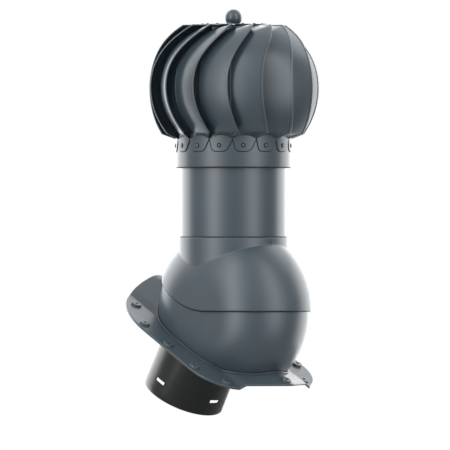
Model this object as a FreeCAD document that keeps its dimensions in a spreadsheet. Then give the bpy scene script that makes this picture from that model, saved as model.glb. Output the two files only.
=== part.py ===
"""Roof vent outlet with a tilting two-part dome and a turbine head turned by the wind.

Frame: +Z up along the stack, -Y down the roof's slope, X along the roof. The origin lies where
the stack's axis meets the underside of the flashing plate. Lengths are millimetres.
"""
import FreeCAD, Part
import math
import os

import Sketcher

Vector = FreeCAD.Vector
X_AXIS = Vector(1, 0, 0)
Z_AXIS = Vector(0, 0, 1)
ORIGIN = Vector(0, 0, 0)

SIZES = {
    "roof": {
        "roof_pitch": (30, "slope of the roof the outlet is set for, degrees"),
    },
    "flashing plate": {
        "plate_half_width": (122, "from the middle to the straight side"),
        "plate_back_reach": (205, "up the slope to the round back edge"),
        "plate_shoulder_front": (33, "down the slope to the start of the front corner"),
        "plate_corner_radius": (61, "round front corners"),
        "plate_front_reach": (126.2, "down the slope to the tip of the ridge's front edge"),
        "plate_thickness": (3.5, "wall of the moulding"),
        "flat_tolerance": (0.000001, "how far four corners of a flat face may be out of its plane"),
        "ridge_height": (24, "rise of the ridge in the middle"),
        "ridge_step": (5.2, "small step at each side of the ridge"),
        "ridge_foot_front": (68, "half width of the ridge at the front"),
        "ridge_foot_back": (64, "half width of the ridge at the back"),
        "ridge_step_width": (12.5, "how wide the sloping step is"),
        "ridge_crest_half_width": (15, "half width of the rounded crest"),
        "boss_radius": (7.8, "round boss about each fixing hole"),
        "boss_rise": (3.2, "boss above the plate"),
        "boss_rounding": (1, "rounded rim of a boss"),
        "fixing_hole_radius": (2.2, "hole for a roofing screw"),
        "lip_gap": (0.9, "between the dome and the lip round its foot"),
        "lip_wall": (2.4, "thickness of the lip"),
        "lip_rise": (3, "lip above the plate"),
    },
    "fixing holes": {
        "front_hole_slope": (-114, "middle hole at the front"),
        "back_hole_slope": (187, "middle hole at the back"),
        "pair_a_side": (83, "first pair from the front, sideways"),
        "pair_a_slope": (-76, "first pair, along the slope"),
        "pair_b_side": (110, "second pair, sideways"),
        "pair_b_slope": (-29, "second pair, along the slope"),
        "pair_c_side": (110.5, "third pair, sideways"),
        "pair_c_slope": (36, "third pair, along the slope"),
        "pair_d_side": (107.5, "fourth pair, sideways"),
        "pair_d_slope": (98.5, "fourth pair, along the slope"),
        "pair_e_side": (77.5, "last pair, sideways"),
        "pair_e_slope": (155, "last pair, along the slope"),
    },
    "dome": {
        "pivot_rise": (70, "tilt axis above the plate's underside, along the stack"),
        "dome_ring_radius": (46, "from the tilt axis to the centre of the round section"),
        "dome_round_radius": (86, "round section of the hood"),
        "hood_wall": (4, "wall of the hood"),
        "shell_gap": (0.5, "play between hood and lower shell"),
        "shell_wall": (3.5, "wall of the lower shell"),
        "shell_foot_gap": (0.1, "bed of glue under the lower shell"),
        "shell_notch_rise": (16, "lowest point of the lower shell's opening above the axis"),
        "shell_front_slope": (14, "slope of the lower shell's front rim, degrees"),
        "shell_back_slope": (43.3, "slope of the lower shell's back rim, degrees"),
        "hood_rim_rise": (2.4, "front rim of the hood above the tilt axis"),
        "hood_rim_turn": (12.2, "behind the axis, where the rim turns up"),
        "hood_rim_bend": (125, "radius of the turn in the rim"),
        "trunnion_radius": (7, "stub inside the lower shell that the hood turns on"),
        "trunnion_play": (0.05, "running clearance of an ear on its stub"),
        "trunnion_reach": (12, "length of a stub"),
        "ear_wall": (4.5, "thickness of an ear"),
        "ear_rim": (6, "ring of an ear about its stub"),
        "ear_width": (20, "width of an ear's bar"),
        "ear_bridge_low": (46, "underside of the bridge from ear to hood"),
        "ear_bridge_high": (64, "top of the bridge from ear to hood"),
    },
    "neck": {
        "neck_height": (114, "top of the neck above the tilt axis"),
        "neck_radius": (82.3, "outside of the neck at its top"),
        "neck_draft": (0.3, "how much wider the neck is where it meets the dome"),
        "neck_rounding": (2, "rounded top edge"),
        "socket_depth": (9, "how far the pipe sits in the neck"),
        "socket_play": (0.2, "clearance round the pipe in its socket"),
        "seat_width": (3.2, "ledge under the pipe"),
        "rib_width": (3, "mark rib on the neck"),
        "rib_height": (6.6, "length of the mark rib"),
        "rib_drop": (3, "mark rib below the neck's top"),
        "rib_rise": (1.2, "mark rib proud of the neck"),
    },
    "stack pipe": {
        "pipe_radius": (80, "outside of the pipe"),
        "pipe_wall": (1.5, "sheet of the pipe"),
        "pipe_length": (153, "from its seat to its top"),
    },
    "duct": {
        "duct_radius": (64, "outside of the duct"),
        "duct_wall": (2.5, "wall of the duct"),
        "duct_offset": (65, "up the slope from the origin to the duct's axis"),
        "duct_drop": (103, "duct below the plate's underside"),
        "duct_play": (0.3, "clearance in the plate's collar"),
        "duct_collar_wall": (3, "collar about the duct"),
        "duct_collar_rise": (30, "top of the collar above the plate's underside"),
        "duct_lip_reach": (6, "lip that hangs the duct on the collar"),
        "duct_lip_height": (3, "thickness of that lip"),
        "slot_length": (20, "slots near the duct's end"),
        "slot_height": (6, "height of a slot"),
        "slot_from_end": (24.2, "middle of a slot above the open end"),
    },
    "turbine": {
        "blade_count": (15, "blades round the head"),
        "blade_sheet": (1, "sheet of a blade"),
        "turbine_radius": (130, "outer edge of a blade at its belly"),
        "belly_rise": (79, "belly above the fold at the ring"),
        "outer_low_depth": (130, "roundness of the outer edge below the belly"),
        "outer_high_depth": (120, "roundness of the outer edge above the belly"),
        "outer_edge_drop": (70, "low corner of the outer edge below the belly"),
        "inner_radius": (114, "inner edge of a blade at its belly"),
        "inner_depth": (104, "roundness of the inner edge"),
        "inner_edge_drop": (69, "low corner of the inner edge below the belly"),
        "crown_rise": (94.9, "flat top of a blade above the belly"),
        "crown_inner_radius": (41, "where a blade ends under the disc"),
        "crown_join_radius": (75, "inner edge when the outer edge reaches the flat top"),
        "blade_span": (23.2, "angle a blade covers at its belly"),
        "crown_span": (23, "angle a blade covers under the disc"),
        "outer_low_twist": (8.5, "lead of the outer edge at its low corner"),
        "outer_high_twist": (26, "lead of the outer edge at the flat top"),
        "crown_twist": (34, "lead of the outer edge under the disc"),
        "inner_low_twist": (1.6, "lead of the inner edge at its low corner"),
        "tab_lag": (10.4, "middle of a tab behind the blade's outer edge"),
        "tab_half_angle": (11.6, "half width of a tab at its fold"),
        "tab_height": (18.3, "length of a tab"),
        "tab_gap": (0.1, "between tab and ring"),
        "tab_rivet_drop": (9.6, "rivet below the fold"),
        "rotor_phase": (5, "direction of the first blade's outer edge"),
    },
    "head": {
        "disc_radius": (53, "top disc"),
        "disc_thickness": (1.5, "sheet of the disc"),
        "disc_rivet_radius": (48, "circle of the disc's rivets"),
        "collar_radius": (87.2, "outside of the turbine's ring"),
        "collar_wall": (1.2, "sheet of the ring"),
        "collar_overlap": (37, "ring below the pipe's top"),
        "collar_headroom": (4, "ring above the pipe's top"),
        "rivet_head_radius": (3, "domed head"),
        "rivet_head_height": (1.4, "height of the head"),
        "rivet_shank_radius": (1.6, "shank"),
        "rivet_play": (0.05, "clearance of a shank in its hole"),
        "rivet_tail": (1.2, "closed end behind the sheet"),
        "rivet_slack": (0.15, "between the sheet and the closed end"),
        "crown_sag": (0.4, "how far a blade's end lies under the disc at its rivet"),
        "knob_radius": (13.2, "ball knob"),
        "knob_height": (23.4, "ball knob from disc to top"),
        "knob_bore_depth": (14, "threaded hole in the knob"),
    },
    "shaft and bearings": {
        "shaft_radius": (6, "shaft of the turbine"),
        "shaft_tail": (10, "shaft below the lower bearing"),
        "shoulder_radius": (9, "shoulder over the upper bearing"),
        "shoulder_height": (5, "height of the shoulder"),
        "washer_radius": (12, "washer under the disc"),
        "washer_thickness": (2, "washer under the disc"),
        "nut_flats": (18, "width across flats of the disc nut"),
        "nut_height": (10, "disc nut"),
        "lock_nut_flats": (17, "width across flats of the lower nut"),
        "lock_nut_height": (7, "lower nut"),
        "bearing_radius": (16, "outside of a bearing"),
        "bearing_width": (10, "width of a bearing"),
        "ball_radius": (3, "bearing balls"),
        "ball_play": (0.06, "play of a ball in its race"),
        "ball_count": (7, "balls in a bearing"),
        "race_gap": (4.8, "open gap between the two rings"),
        "bearing_spacing": (36, "between the two bearings"),
        "tube_wall": (4, "wall of the bearing tube"),
        "tube_land": (2, "inner step that the bearings rest on"),
        "tube_above_pipe": (2, "bearing tube above the pipe's top"),
        "spacer_wall": (2, "sleeve between the inner rings"),
        "arm_width": (20, "arm of the bracket"),
        "arm_thickness": (3, "arm of the bracket"),
        "arm_count": (3, "arms of the bracket"),
        "bracket_ring_wall": (4, "ring about the bearing tube"),
        "bracket_ring_height": (12, "ring about the bearing tube"),
        "bracket_drop": (26, "arms below the pipe's top"),
        "foot_height": (20, "foot along the pipe's wall"),
        "foot_wall": (2.5, "foot along the pipe's wall"),
    },
}

doc = FreeCAD.newDocument("roof_vent_outlet")
sheet = doc.addObject("Spreadsheet::Sheet", "Sizes")


def fill_sheet():
    """Write each driving size, its name and what it means into the sheet."""
    row = 1
    for group, sizes in SIZES.items():
        sheet.set("A%d" % row, group)
        row += 1
        for name, (value, note) in sizes.items():
            sheet.set("A%d" % row, name)
            sheet.set("B%d" % row, str(value))
            sheet.set("C%d" % row, note)
            sheet.setAlias("B%d" % row, name)
            row += 1
    doc.recompute()


def size(name):
    """A size as the sheet holds it."""
    return float(sheet.get(name))


def formula(text):
    """An expression on the sheet's sizes, with each size written as [name]."""
    return text.replace("[", "Sizes.").replace("]", "")


def worth(text):
    """The value of an expression on the sheet's sizes."""
    return float(sheet.evalExpression(formula(text)))


def bind(item, prop, text):
    """Tie a property to an expression on the sheet's sizes."""
    item.setExpression(prop, formula(text))


# Levels and places that several pieces share

PIVOT = "[pivot_rise]"
PIPE_SEAT = "([pivot_rise] + [neck_height] - [socket_depth])"
PIPE_TOP = "(" + PIPE_SEAT + " + [pipe_length])"
COLLAR_LOW = "(" + PIPE_TOP + " - [collar_overlap])"
COLLAR_HIGH = "(" + PIPE_TOP + " + [collar_headroom])"
FOLD = "(" + COLLAR_HIGH + " + 1)"
BELLY = "(" + FOLD + " + [belly_rise])"
CROWN = "(" + BELLY + " + [crown_rise])"
DISC_TOP = "(" + CROWN + " + [disc_thickness])"
TUBE_TOP = "(" + PIPE_TOP + " + [tube_above_pipe])"
UPPER_BEARING = "(" + TUBE_TOP + " - [bearing_width])"
LOWER_BEARING = "(" + UPPER_BEARING + " - [bearing_spacing] - [bearing_width])"
TAB_RADIUS = "([collar_radius] + [tab_gap])"
BODY_STEPS = 12
CROWN_STEPS = 5
LOWER_ROUND = "([dome_round_radius] - [hood_wall] - [shell_gap])"
BRACKET_LEVEL = "(" + PIPE_TOP + " - [bracket_drop])"

finished = []


def keep(item, label):
    """Give a finished sub-part the name of its file."""
    item.Label = label
    finished.append(item)
    return item


# Sketches and features

def origin_plane(body, role):
    """One of a body's own origin planes."""
    return next(entry for entry in body.Origin.OriginFeatures if entry.Role == role)


def arc_middle(start, end, radius, side):
    """Middle of the arc from start to end that bulges to the left (side 1) or right (side -1)."""
    chord = end - start
    half = chord.Length / 2
    rise = radius - math.sqrt(max(radius * radius - half * half, 0))
    across = Vector(-chord.y, chord.x, 0).normalize()
    return (start + end) * 0.5 + across * (rise * side)


def outline(body, role, corners, name, offset=None):
    """A closed sketch through corners given as expressions.

    A corner is (x, y), or (x, y, radius, side) where the edge that leaves it is an arc. A fifth
    value gives the height of the arc's centre, which holds a half round better than its radius.
    """
    sketch = body.newObject("Sketcher::SketchObject", name)
    sketch.AttachmentSupport = [(origin_plane(body, role), "")]
    sketch.MapMode = "FlatFace"
    if offset:
        bind(sketch, "AttachmentOffset.Base.z", offset)
    points = [Vector(worth(corner[0]), worth(corner[1]), 0) for corner in corners]
    count = len(corners)
    for index, corner in enumerate(corners):
        start = points[index]
        end = points[(index + 1) % count]
        if len(corner) == 2:
            sketch.addGeometry(Part.LineSegment(start, end), False)
        else:
            middle = arc_middle(start, end, worth(corner[2]), corner[3])
            first, last = (end, start) if corner[3] > 0 else (start, end)
            sketch.addGeometry(Part.Arc(first, middle, last), False)
    starts = [2 if len(corner) > 2 and corner[3] > 0 else 1 for corner in corners]
    for index in range(count):
        following = (index + 1) % count
        end_point = 3 - starts[index]
        sketch.addConstraint(
            Sketcher.Constraint("Coincident", index, end_point, following, starts[following]))
    for index, corner in enumerate(corners):
        for kind, place, text in (("DistanceX", points[index].x, corner[0]),
                                  ("DistanceY", points[index].y, corner[1])):
            number = sketch.addConstraint(
                Sketcher.Constraint(kind, -1, 1, index, starts[index], place))
            bind(sketch, "Constraints[%d]" % number, text)
        if len(corner) == 4:
            number = sketch.addConstraint(Sketcher.Constraint("Radius", index, worth(corner[2])))
            bind(sketch, "Constraints[%d]" % number, corner[2])
        if len(corner) == 5:
            number = sketch.addConstraint(
                Sketcher.Constraint("DistanceY", -1, 1, index, 3, worth(corner[4])))
            bind(sketch, "Constraints[%d]" % number, corner[4])
    return sketch


def round_outline(body, role, rings, name, offset=None):
    """A sketch of circles, each given as (x, y, radius) in expressions."""
    sketch = body.newObject("Sketcher::SketchObject", name)
    sketch.AttachmentSupport = [(origin_plane(body, role), "")]
    sketch.MapMode = "FlatFace"
    if offset:
        bind(sketch, "AttachmentOffset.Base.z", offset)
    for index, (across, along, radius) in enumerate(rings):
        centre = Vector(worth(across), worth(along), 0)
        sketch.addGeometry(Part.Circle(centre, Z_AXIS, worth(radius)), False)
        for kind, value, text in (("DistanceX", centre.x, across), ("DistanceY", centre.y, along)):
            number = sketch.addConstraint(Sketcher.Constraint(kind, -1, 1, index, 3, value))
            bind(sketch, "Constraints[%d]" % number, text)
        number = sketch.addConstraint(Sketcher.Constraint("Radius", index, worth(radius)))
        bind(sketch, "Constraints[%d]" % number, radius)
    return sketch


def turned(body, sketch, axis, name, kind="PartDesign::Revolution"):
    """Turn a sketch a full circle about its own H_Axis or V_Axis."""
    feature = body.newObject(kind, name)
    feature.Profile = sketch
    feature.ReferenceAxis = (sketch, [axis])
    feature.Angle = 360
    return feature


def raised(body, sketch, length, name):
    """Pad a sketch along its normal."""
    feature = body.newObject("PartDesign::Pad", name)
    feature.Profile = sketch
    feature.Length = worth(length)
    bind(feature, "Length", length)
    return feature


def cut_through(body, sketch, name):
    """Pocket a sketch right through, both ways."""
    feature = body.newObject("PartDesign::Pocket", name)
    feature.Profile = sketch
    feature.Type = "ThroughAll"
    feature.SideType = "Symmetric"
    return feature


def new_body(name, level=None):
    """A body whose own origin lies on the stack's axis at the given level."""
    body = doc.addObject("PartDesign::Body", name)
    if level:
        bind(body, "Placement.Base.z", level)
    return body


def turned_part(name, label, corners, level):
    """A piece turned about the stack's axis from a profile of (radius, height) corners."""
    body = new_body(name, level)
    turned(body, outline(body, "XZ_Plane", corners, name + "Profile"), "V_Axis", name + "Turned")
    return keep(body, label)


def tube_corners(outer, inner, low, high):
    """Profile of a plain tube."""
    return [(inner, low), (outer, low), (outer, high), (inner, high)]


# Shapes that follow the roof's slope

def slope_turn():
    """Turn from the plate's own directions to the frame's."""
    return FreeCAD.Rotation(X_AXIS, size("roof_pitch"))


def pivot_in_plate():
    """The tilt axis seen from the plate: along its slope and off its underside."""
    pitch = math.radians(size("roof_pitch"))
    return Vector(0, size("pivot_rise") * math.sin(pitch), size("pivot_rise") * math.cos(pitch))


def ridge_foot(slope):
    """Half width of the ridge at a place along the slope: it narrows evenly towards the back."""
    front = -size("plate_front_reach")
    share = (slope - front) / (size("plate_back_reach") - front)
    return size("ridge_foot_front") + (size("ridge_foot_back") - size("ridge_foot_front")) * share


def ridge_shoulders(foot):
    """Side and height where the step ends and where the rounded crest starts."""
    step_side = foot - size("ridge_step_width")
    crest_side = size("ridge_crest_half_width")
    rise = (size("ridge_height") - size("ridge_step")) / (step_side - crest_side / 2)
    return [(step_side, size("ridge_step")),
            (crest_side, size("ridge_step") + rise * (step_side - crest_side))]


def ridge_section(slope, level):
    """Line of the plate across the roof at one place along the slope, lifted by a level.

    From the side: flat margin, sloping step, straight flank, rounded crest and the same again.
    """
    foot = ridge_foot(slope)
    corners = [(size("plate_half_width") * 2, 0), (foot, 0)] + ridge_shoulders(foot)
    left = [Vector(-side, slope, level + height) for side, height in corners]
    right = [Vector(side, slope, level + height) for side, height in reversed(corners)]
    crest = Vector(0, slope, level + size("ridge_height"))
    edges = [Part.LineSegment(first, second).toShape() for first, second in zip(left, left[1:])]
    edges.append(Part.Arc(left[-1], crest, right[0]).toShape())
    edges += [Part.LineSegment(first, second).toShape() for first, second in zip(right, right[1:])]
    return edges, left[0], right[-1]


def closed_solid(faces):
    """Solid inside faces that meet along their edges."""
    shell = Part.makeShell(faces)
    shell.sewShape()
    solid = Part.makeSolid(Part.Shell(shell.Faces))
    if solid.Volume < 0:
        solid.reverse()
    return solid


def face_between(first, second):
    """Face from one edge to another: a flat one where four corners lie in a plane, or else ruled."""
    corners = [vertex.Point for vertex in first.Vertexes + second.Vertexes[::-1]]
    normal = (corners[1] - corners[0]).cross(corners[3] - corners[0]).normalize()
    straight = all(isinstance(edge.Curve, Part.Line) for edge in (first, second))
    if straight and abs(normal.dot(corners[2] - corners[0])) < size("flat_tolerance"):
        return Part.Face(Part.makePolygon(corners + corners[:1]))
    return Part.makeRuledSurface(first, second)


def ridge_sheet(low, high):
    """Solid between two levels that follow the ridge, longer and wider than the plate."""
    rings = []
    for slope in (-size("plate_front_reach") * 1.5, size("plate_back_reach") * 1.5):
        under, under_left, under_right = ridge_section(slope, low)
        over, over_left, over_right = ridge_section(slope, high)
        rings.append(under + over + [Part.LineSegment(under_right, over_right).toShape(),
                                     Part.LineSegment(under_left, over_left).toShape()])
    faces = [Part.Face(Part.Wire(Part.__sortEdges__(ring))) for ring in rings]
    faces += [face_between(front, back) for front, back in zip(*rings)]
    return closed_solid(faces)


def plate_outline():
    """Plan of the flashing plate: round back, straight sides, round corners, pointed front.

    Over the ridge the front edge runs at one level, so it reaches further where the ridge is higher.
    """
    side = size("plate_half_width")
    back_centre = size("plate_back_reach") - side
    shoulder = -size("plate_shoulder_front")
    corner = size("plate_corner_radius")
    corner_x = side - corner
    foot = ridge_foot(shoulder - corner)
    fall = math.sqrt(corner * corner - (foot - corner_x) ** 2)
    front_corner = Vector(foot, shoulder - fall, 0)
    (step_side, step_height), (crest_side, crest_height) = ridge_shoulders(foot)
    advance = (crest_height - step_height) / math.tan(math.radians(size("roof_pitch")))
    step_end = Vector(step_side, front_corner.y, 0)
    crest_end = Vector(crest_side, front_corner.y - advance, 0)
    middle_angle = math.radians(-45)
    corner_middle = Vector(corner_x + corner * math.cos(middle_angle),
                           shoulder + corner * math.sin(middle_angle), 0)
    tip = Vector(0, -size("plate_front_reach"), 0)

    def mirrored(point):
        return Vector(-point.x, point.y, 0)

    right_back = Vector(side, back_centre, 0)
    right_front = Vector(side, shoulder, 0)
    edges = [
        Part.Arc(right_back, Vector(0, back_centre + side, 0), mirrored(right_back)).toShape(),
        Part.LineSegment(mirrored(right_back), mirrored(right_front)).toShape(),
        Part.Arc(mirrored(right_front), mirrored(corner_middle), mirrored(front_corner)).toShape(),
        Part.LineSegment(mirrored(front_corner), mirrored(step_end)).toShape(),
        Part.LineSegment(mirrored(step_end), mirrored(crest_end)).toShape(),
        Part.Arc(mirrored(crest_end), tip, crest_end).toShape(),
        Part.LineSegment(crest_end, step_end).toShape(),
        Part.LineSegment(step_end, front_corner).toShape(),
        Part.Arc(front_corner, corner_middle, right_front).toShape(),
        Part.LineSegment(right_front, right_back).toShape(),
    ]
    return Part.Wire(Part.__sortEdges__(edges))


def dome_solid(round_radius):
    """Solid of revolution about the tilt axis, as seen from the plate, with the given round section."""
    ring = size("dome_ring_radius")
    points = [Vector(-round_radius, 0, 0), Vector(-round_radius, 0, ring),
              Vector(round_radius, 0, ring), Vector(round_radius, 0, 0)]
    edges = [
        Part.LineSegment(points[0], points[1]).toShape(),
        Part.Arc(points[1], Vector(0, 0, ring + round_radius), points[2]).toShape(),
        Part.LineSegment(points[2], points[3]).toShape(),
        Part.LineSegment(points[3], points[0]).toShape(),
    ]
    solid = Part.Face(Part.Wire(edges)).revolve(ORIGIN, X_AXIS, 360)
    solid.translate(pivot_in_plate())
    return solid


def fixing_places():
    """Centres of the fixing holes on the plate, with the height of the sheet there."""
    ridge = size("ridge_height")
    places = [Vector(0, size("front_hole_slope"), ridge), Vector(0, size("back_hole_slope"), ridge)]
    for pair in "abcde":
        for side in (-1, 1):
            places.append(Vector(side * size("pair_%s_side" % pair),
                                 size("pair_%s_slope" % pair), 0))
    return places


def make_flashing_plate():
    """Moulded plate: ridged sheet, bosses, collar for the duct and lip for the dome."""
    thickness = size("plate_thickness")
    top = size("ridge_height") + thickness + size("boss_rise")
    plan = Part.Face(plate_outline())
    block = plan.extrude(Vector(0, 0, top * 2))
    block.translate(Vector(0, 0, -top))
    plate = ridge_sheet(0, thickness).common(block)
    collar_outer = size("duct_radius") + size("duct_play") + size("duct_collar_wall")
    collar = Part.makeCylinder(collar_outer, size("duct_collar_rise"), Vector(0, size("duct_offset"), 0))
    plate = plate.fuse(collar)
    lip_round = worth(LOWER_ROUND) + size("lip_gap")
    lip = dome_solid(lip_round + size("lip_wall")).cut(dome_solid(lip_round))
    lip = lip.common(ridge_sheet(thickness / 2, thickness + size("lip_rise")))
    plate = plate.fuse(lip)
    for place in fixing_places():
        boss = Part.makeCylinder(size("boss_radius"), thickness / 2 + size("boss_rise"),
                                 place + Vector(0, 0, thickness / 2))
        rim = [edge for edge in boss.Edges
               if edge.BoundBox.ZLength < 1e-6 and edge.BoundBox.ZMax > boss.BoundBox.ZMax - 1e-6]
        plate = plate.fuse(boss.makeFillet(size("boss_rounding"), rim))
    passage = size("duct_radius") + size("duct_play")
    plate = plate.cut(Part.makeCylinder(passage, top * 4, Vector(0, size("duct_offset"), -top)))
    for place in fixing_places():
        drill = Part.makeCylinder(size("fixing_hole_radius"), top * 2, Vector(place.x, place.y, -top))
        plate = plate.cut(drill)
    feature = doc.addObject("Part::Feature", "FlashingPlate")
    feature.Shape = plate.Solids[0] if len(plate.Solids) == 1 else plate
    feature.Placement = FreeCAD.Placement(ORIGIN, slope_turn())
    return keep(feature, "flashing_plate")


# Dome

def dome_corners(round_radius):
    """Half section of the dome above the tilt axis: straight ends and a half round."""
    return [
        ("-" + round_radius, "0"),
        ("-" + round_radius, "[dome_ring_radius]", round_radius, 1, "[dome_ring_radius]"),
        (round_radius, "[dome_ring_radius]"),
        (round_radius, "0"),
    ]


def make_lower_shell():
    """Lower half of the dome: open at the top, with two stubs that the hood turns on."""
    body = new_body("LowerShellBody", PIVOT)
    inner = "(" + LOWER_ROUND + " - [shell_wall])"
    turned(body, outline(body, "XZ_Plane", dome_corners(LOWER_ROUND), "ShellOuter"), "H_Axis", "ShellForm")
    turned(body, outline(body, "XZ_Plane", dome_corners(inner), "ShellInner"), "H_Axis", "ShellHollow",
           "PartDesign::Groove")
    reach = "([dome_ring_radius] + [dome_round_radius] * 2)"
    notch = [
        ("0", "[shell_notch_rise]"),
        (reach, "[shell_notch_rise] + " + reach + " * tan([shell_back_slope] * 1 deg)"),
        (reach, reach + " * 2"),
        ("-" + reach, reach + " * 2"),
        ("-" + reach, "[shell_notch_rise] + " + reach + " * tan([shell_front_slope] * 1 deg)"),
    ]
    cut_through(body, outline(body, "YZ_Plane", notch, "ShellNotch"), "ShellOpening")
    stub_start = "(" + inner + " - [trunnion_reach])"
    stub = round_outline(body, "YZ_Plane", [("0", "0", "[trunnion_radius]")], "StubOutline", stub_start)
    pad = raised(body, stub, "[trunnion_reach] + [shell_wall] / 2", "Stub")
    mirror(body, [pad], "StubPair")
    ground = doc.addObject("Part::Feature", "GroundUnderShell")
    below = size("dome_ring_radius") + size("dome_round_radius")
    ground.Shape = ridge_sheet(-below * 2, size("plate_thickness") + size("shell_foot_gap"))
    ground.Placement = FreeCAD.Placement(ORIGIN, slope_turn())
    shell = doc.addObject("Part::Cut", "LowerShell")
    shell.Base = body
    shell.Tool = ground
    return keep(shell, "lower_shell")


def mirror(body, features, name):
    """Repeat features on the other side of the YZ plane."""
    feature = body.newObject("PartDesign::Mirrored", name)
    feature.Originals = features
    feature.MirrorPlane = (origin_plane(body, "YZ_Plane"), [""])
    body.Tip = feature
    return feature


def make_hood():
    """Upper half of the dome with the neck that holds the pipe, and two ears inside."""
    body = new_body("Hood", PIVOT)
    outer = "[dome_round_radius]"
    inner = "([dome_round_radius] - [hood_wall])"
    turned(body, outline(body, "XZ_Plane", dome_corners(outer), "HoodOuter"), "H_Axis", "HoodForm")
    neck = [
        ("0", "[dome_ring_radius]"),
        ("[neck_radius] + [neck_draft]", "[dome_ring_radius]"),
        ("[neck_radius]", "[neck_height] - [neck_rounding]", "[neck_rounding]", -1),
        ("[neck_radius] - [neck_rounding]", "[neck_height]"),
        ("0", "[neck_height]"),
    ]
    turned(body, outline(body, "XZ_Plane", neck, "NeckProfile"), "V_Axis", "Neck")
    rib = [
        ("-[rib_width] / 2", "[neck_height] - [rib_drop] - [rib_height]"),
        ("[rib_width] / 2", "[neck_height] - [rib_drop] - [rib_height]"),
        ("[rib_width] / 2", "[neck_height] - [rib_drop]"),
        ("-[rib_width] / 2", "[neck_height] - [rib_drop]"),
    ]
    rib_sketch = outline(body, "XZ_Plane", rib, "RibOutline", "[neck_radius] - [neck_rounding]")
    raised(body, rib_sketch, "[neck_rounding] + [rib_rise]", "MarkRib")
    turned(body, outline(body, "XZ_Plane", dome_corners(inner), "HoodInner"), "H_Axis", "HoodHollow",
           "PartDesign::Groove")
    bore = "([pipe_radius] + [socket_play])"
    seat = "([neck_height] - [socket_depth])"
    passage = "([pipe_radius] - [seat_width])"
    socket = [
        ("0", "[dome_ring_radius]"),
        (passage, "[dome_ring_radius]"),
        (passage, seat),
        (bore, seat),
        (bore, "[dome_ring_radius] + [dome_round_radius] * 1.1"),
        ("0", "[dome_ring_radius] + [dome_round_radius] * 1.1"),
    ]
    turned(body, outline(body, "XZ_Plane", socket, "SocketProfile"), "V_Axis", "PipeSocket",
           "PartDesign::Groove")
    far = "([dome_ring_radius] + [dome_round_radius] * 2)"
    bend = "[hood_rim_bend] * tan([roof_pitch] * 0.5 deg)"
    rim = [
        ("-" + far, "[hood_rim_rise]"),
        ("[hood_rim_turn] - " + bend, "[hood_rim_rise]", "[hood_rim_bend]", -1),
        ("[hood_rim_turn] + " + bend + " * cos([roof_pitch] * 1 deg)",
         "[hood_rim_rise] + " + bend + " * sin([roof_pitch] * 1 deg)"),
        (far, "[hood_rim_rise] + (" + far + " - [hood_rim_turn]) * tan([roof_pitch] * 1 deg)"),
        (far, "-" + far),
        ("-" + far, "-" + far),
    ]
    cut_through(body, outline(body, "YZ_Plane", rim, "RimOutline"), "RimCut")
    add_ears(body, inner)
    return keep(body, "hood")


def add_ears(body, hood_inner):
    """Two ears that hang from the hood inside the lower shell and turn on its stubs."""
    shell_inner = "(" + LOWER_ROUND + " - [shell_wall])"
    start = "(" + shell_inner + " - [shell_gap] - [ear_wall])"
    ring = "([trunnion_radius] + [ear_rim])"
    half = "[ear_width] / 2"
    ring_sketch = round_outline(body, "YZ_Plane", [("0", "0", ring), ("0", "0", "[trunnion_radius] + [trunnion_play]")],
                                "EarRingOutline", start)
    bar = [
        ("-" + half, "[trunnion_radius] + [ear_rim] / 2"),
        (half, "[trunnion_radius] + [ear_rim] / 2"),
        (half, "[ear_bridge_high]"),
        ("-" + half, "[ear_bridge_high]"),
    ]
    bar_sketch = outline(body, "YZ_Plane", bar, "EarBarOutline", start)
    bridge = [
        ("-" + half, "[ear_bridge_low]"),
        (half, "[ear_bridge_low]"),
        (half, "[ear_bridge_high]"),
        ("-" + half, "[ear_bridge_high]"),
    ]
    bridge_sketch = outline(body, "YZ_Plane", bridge, "EarBridgeOutline", start)
    bridge_reach = hood_inner + " + [hood_wall] / 4 - " + start
    parts = [
        raised(body, bridge_sketch, bridge_reach, "EarBridge"),
        raised(body, bar_sketch, "[ear_wall]", "EarBar"),
        raised(body, ring_sketch, "[ear_wall]", "EarRing"),
    ]
    mirror(body, parts, "EarPair")


# Duct and pipe

def make_duct():
    """Black duct that hangs by its lip on the plate's collar, with slots near its open end."""
    body = new_body("Duct")
    bind(body, "Placement.Base.y", "[duct_offset] * cos([roof_pitch] * 1 deg)")
    bind(body, "Placement.Base.z", "[duct_offset] * sin([roof_pitch] * 1 deg)")
    body.Placement.Rotation = slope_turn()
    bind(body, "Placement.Rotation.Angle", "[roof_pitch] * 1 deg")
    bore = "[duct_radius] - [duct_wall]"
    profile = [
        (bore, "-[duct_drop]"),
        ("[duct_radius]", "-[duct_drop]"),
        ("[duct_radius]", "[duct_collar_rise]"),
        ("[duct_radius] + [duct_lip_reach]", "[duct_collar_rise]"),
        ("[duct_radius] + [duct_lip_reach]", "[duct_collar_rise] + [duct_lip_height]"),
        (bore, "[duct_collar_rise] + [duct_lip_height]"),
    ]
    turned(body, outline(body, "XZ_Plane", profile, "DuctProfile"), "V_Axis", "DuctForm")
    slot_low = "[slot_from_end] - [duct_drop] - [slot_height] / 2"
    slot_high = "[slot_from_end] - [duct_drop] + [slot_height] / 2"
    slot = [
        ("-[slot_length] / 2", slot_low),
        ("[slot_length] / 2", slot_low),
        ("[slot_length] / 2", slot_high),
        ("-[slot_length] / 2", slot_high),
    ]
    for role, name in (("XZ_Plane", "Front"), ("YZ_Plane", "Side")):
        cut_through(body, outline(body, role, slot, name + "SlotOutline"), name + "Slots")
    return keep(body, "duct")


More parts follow.
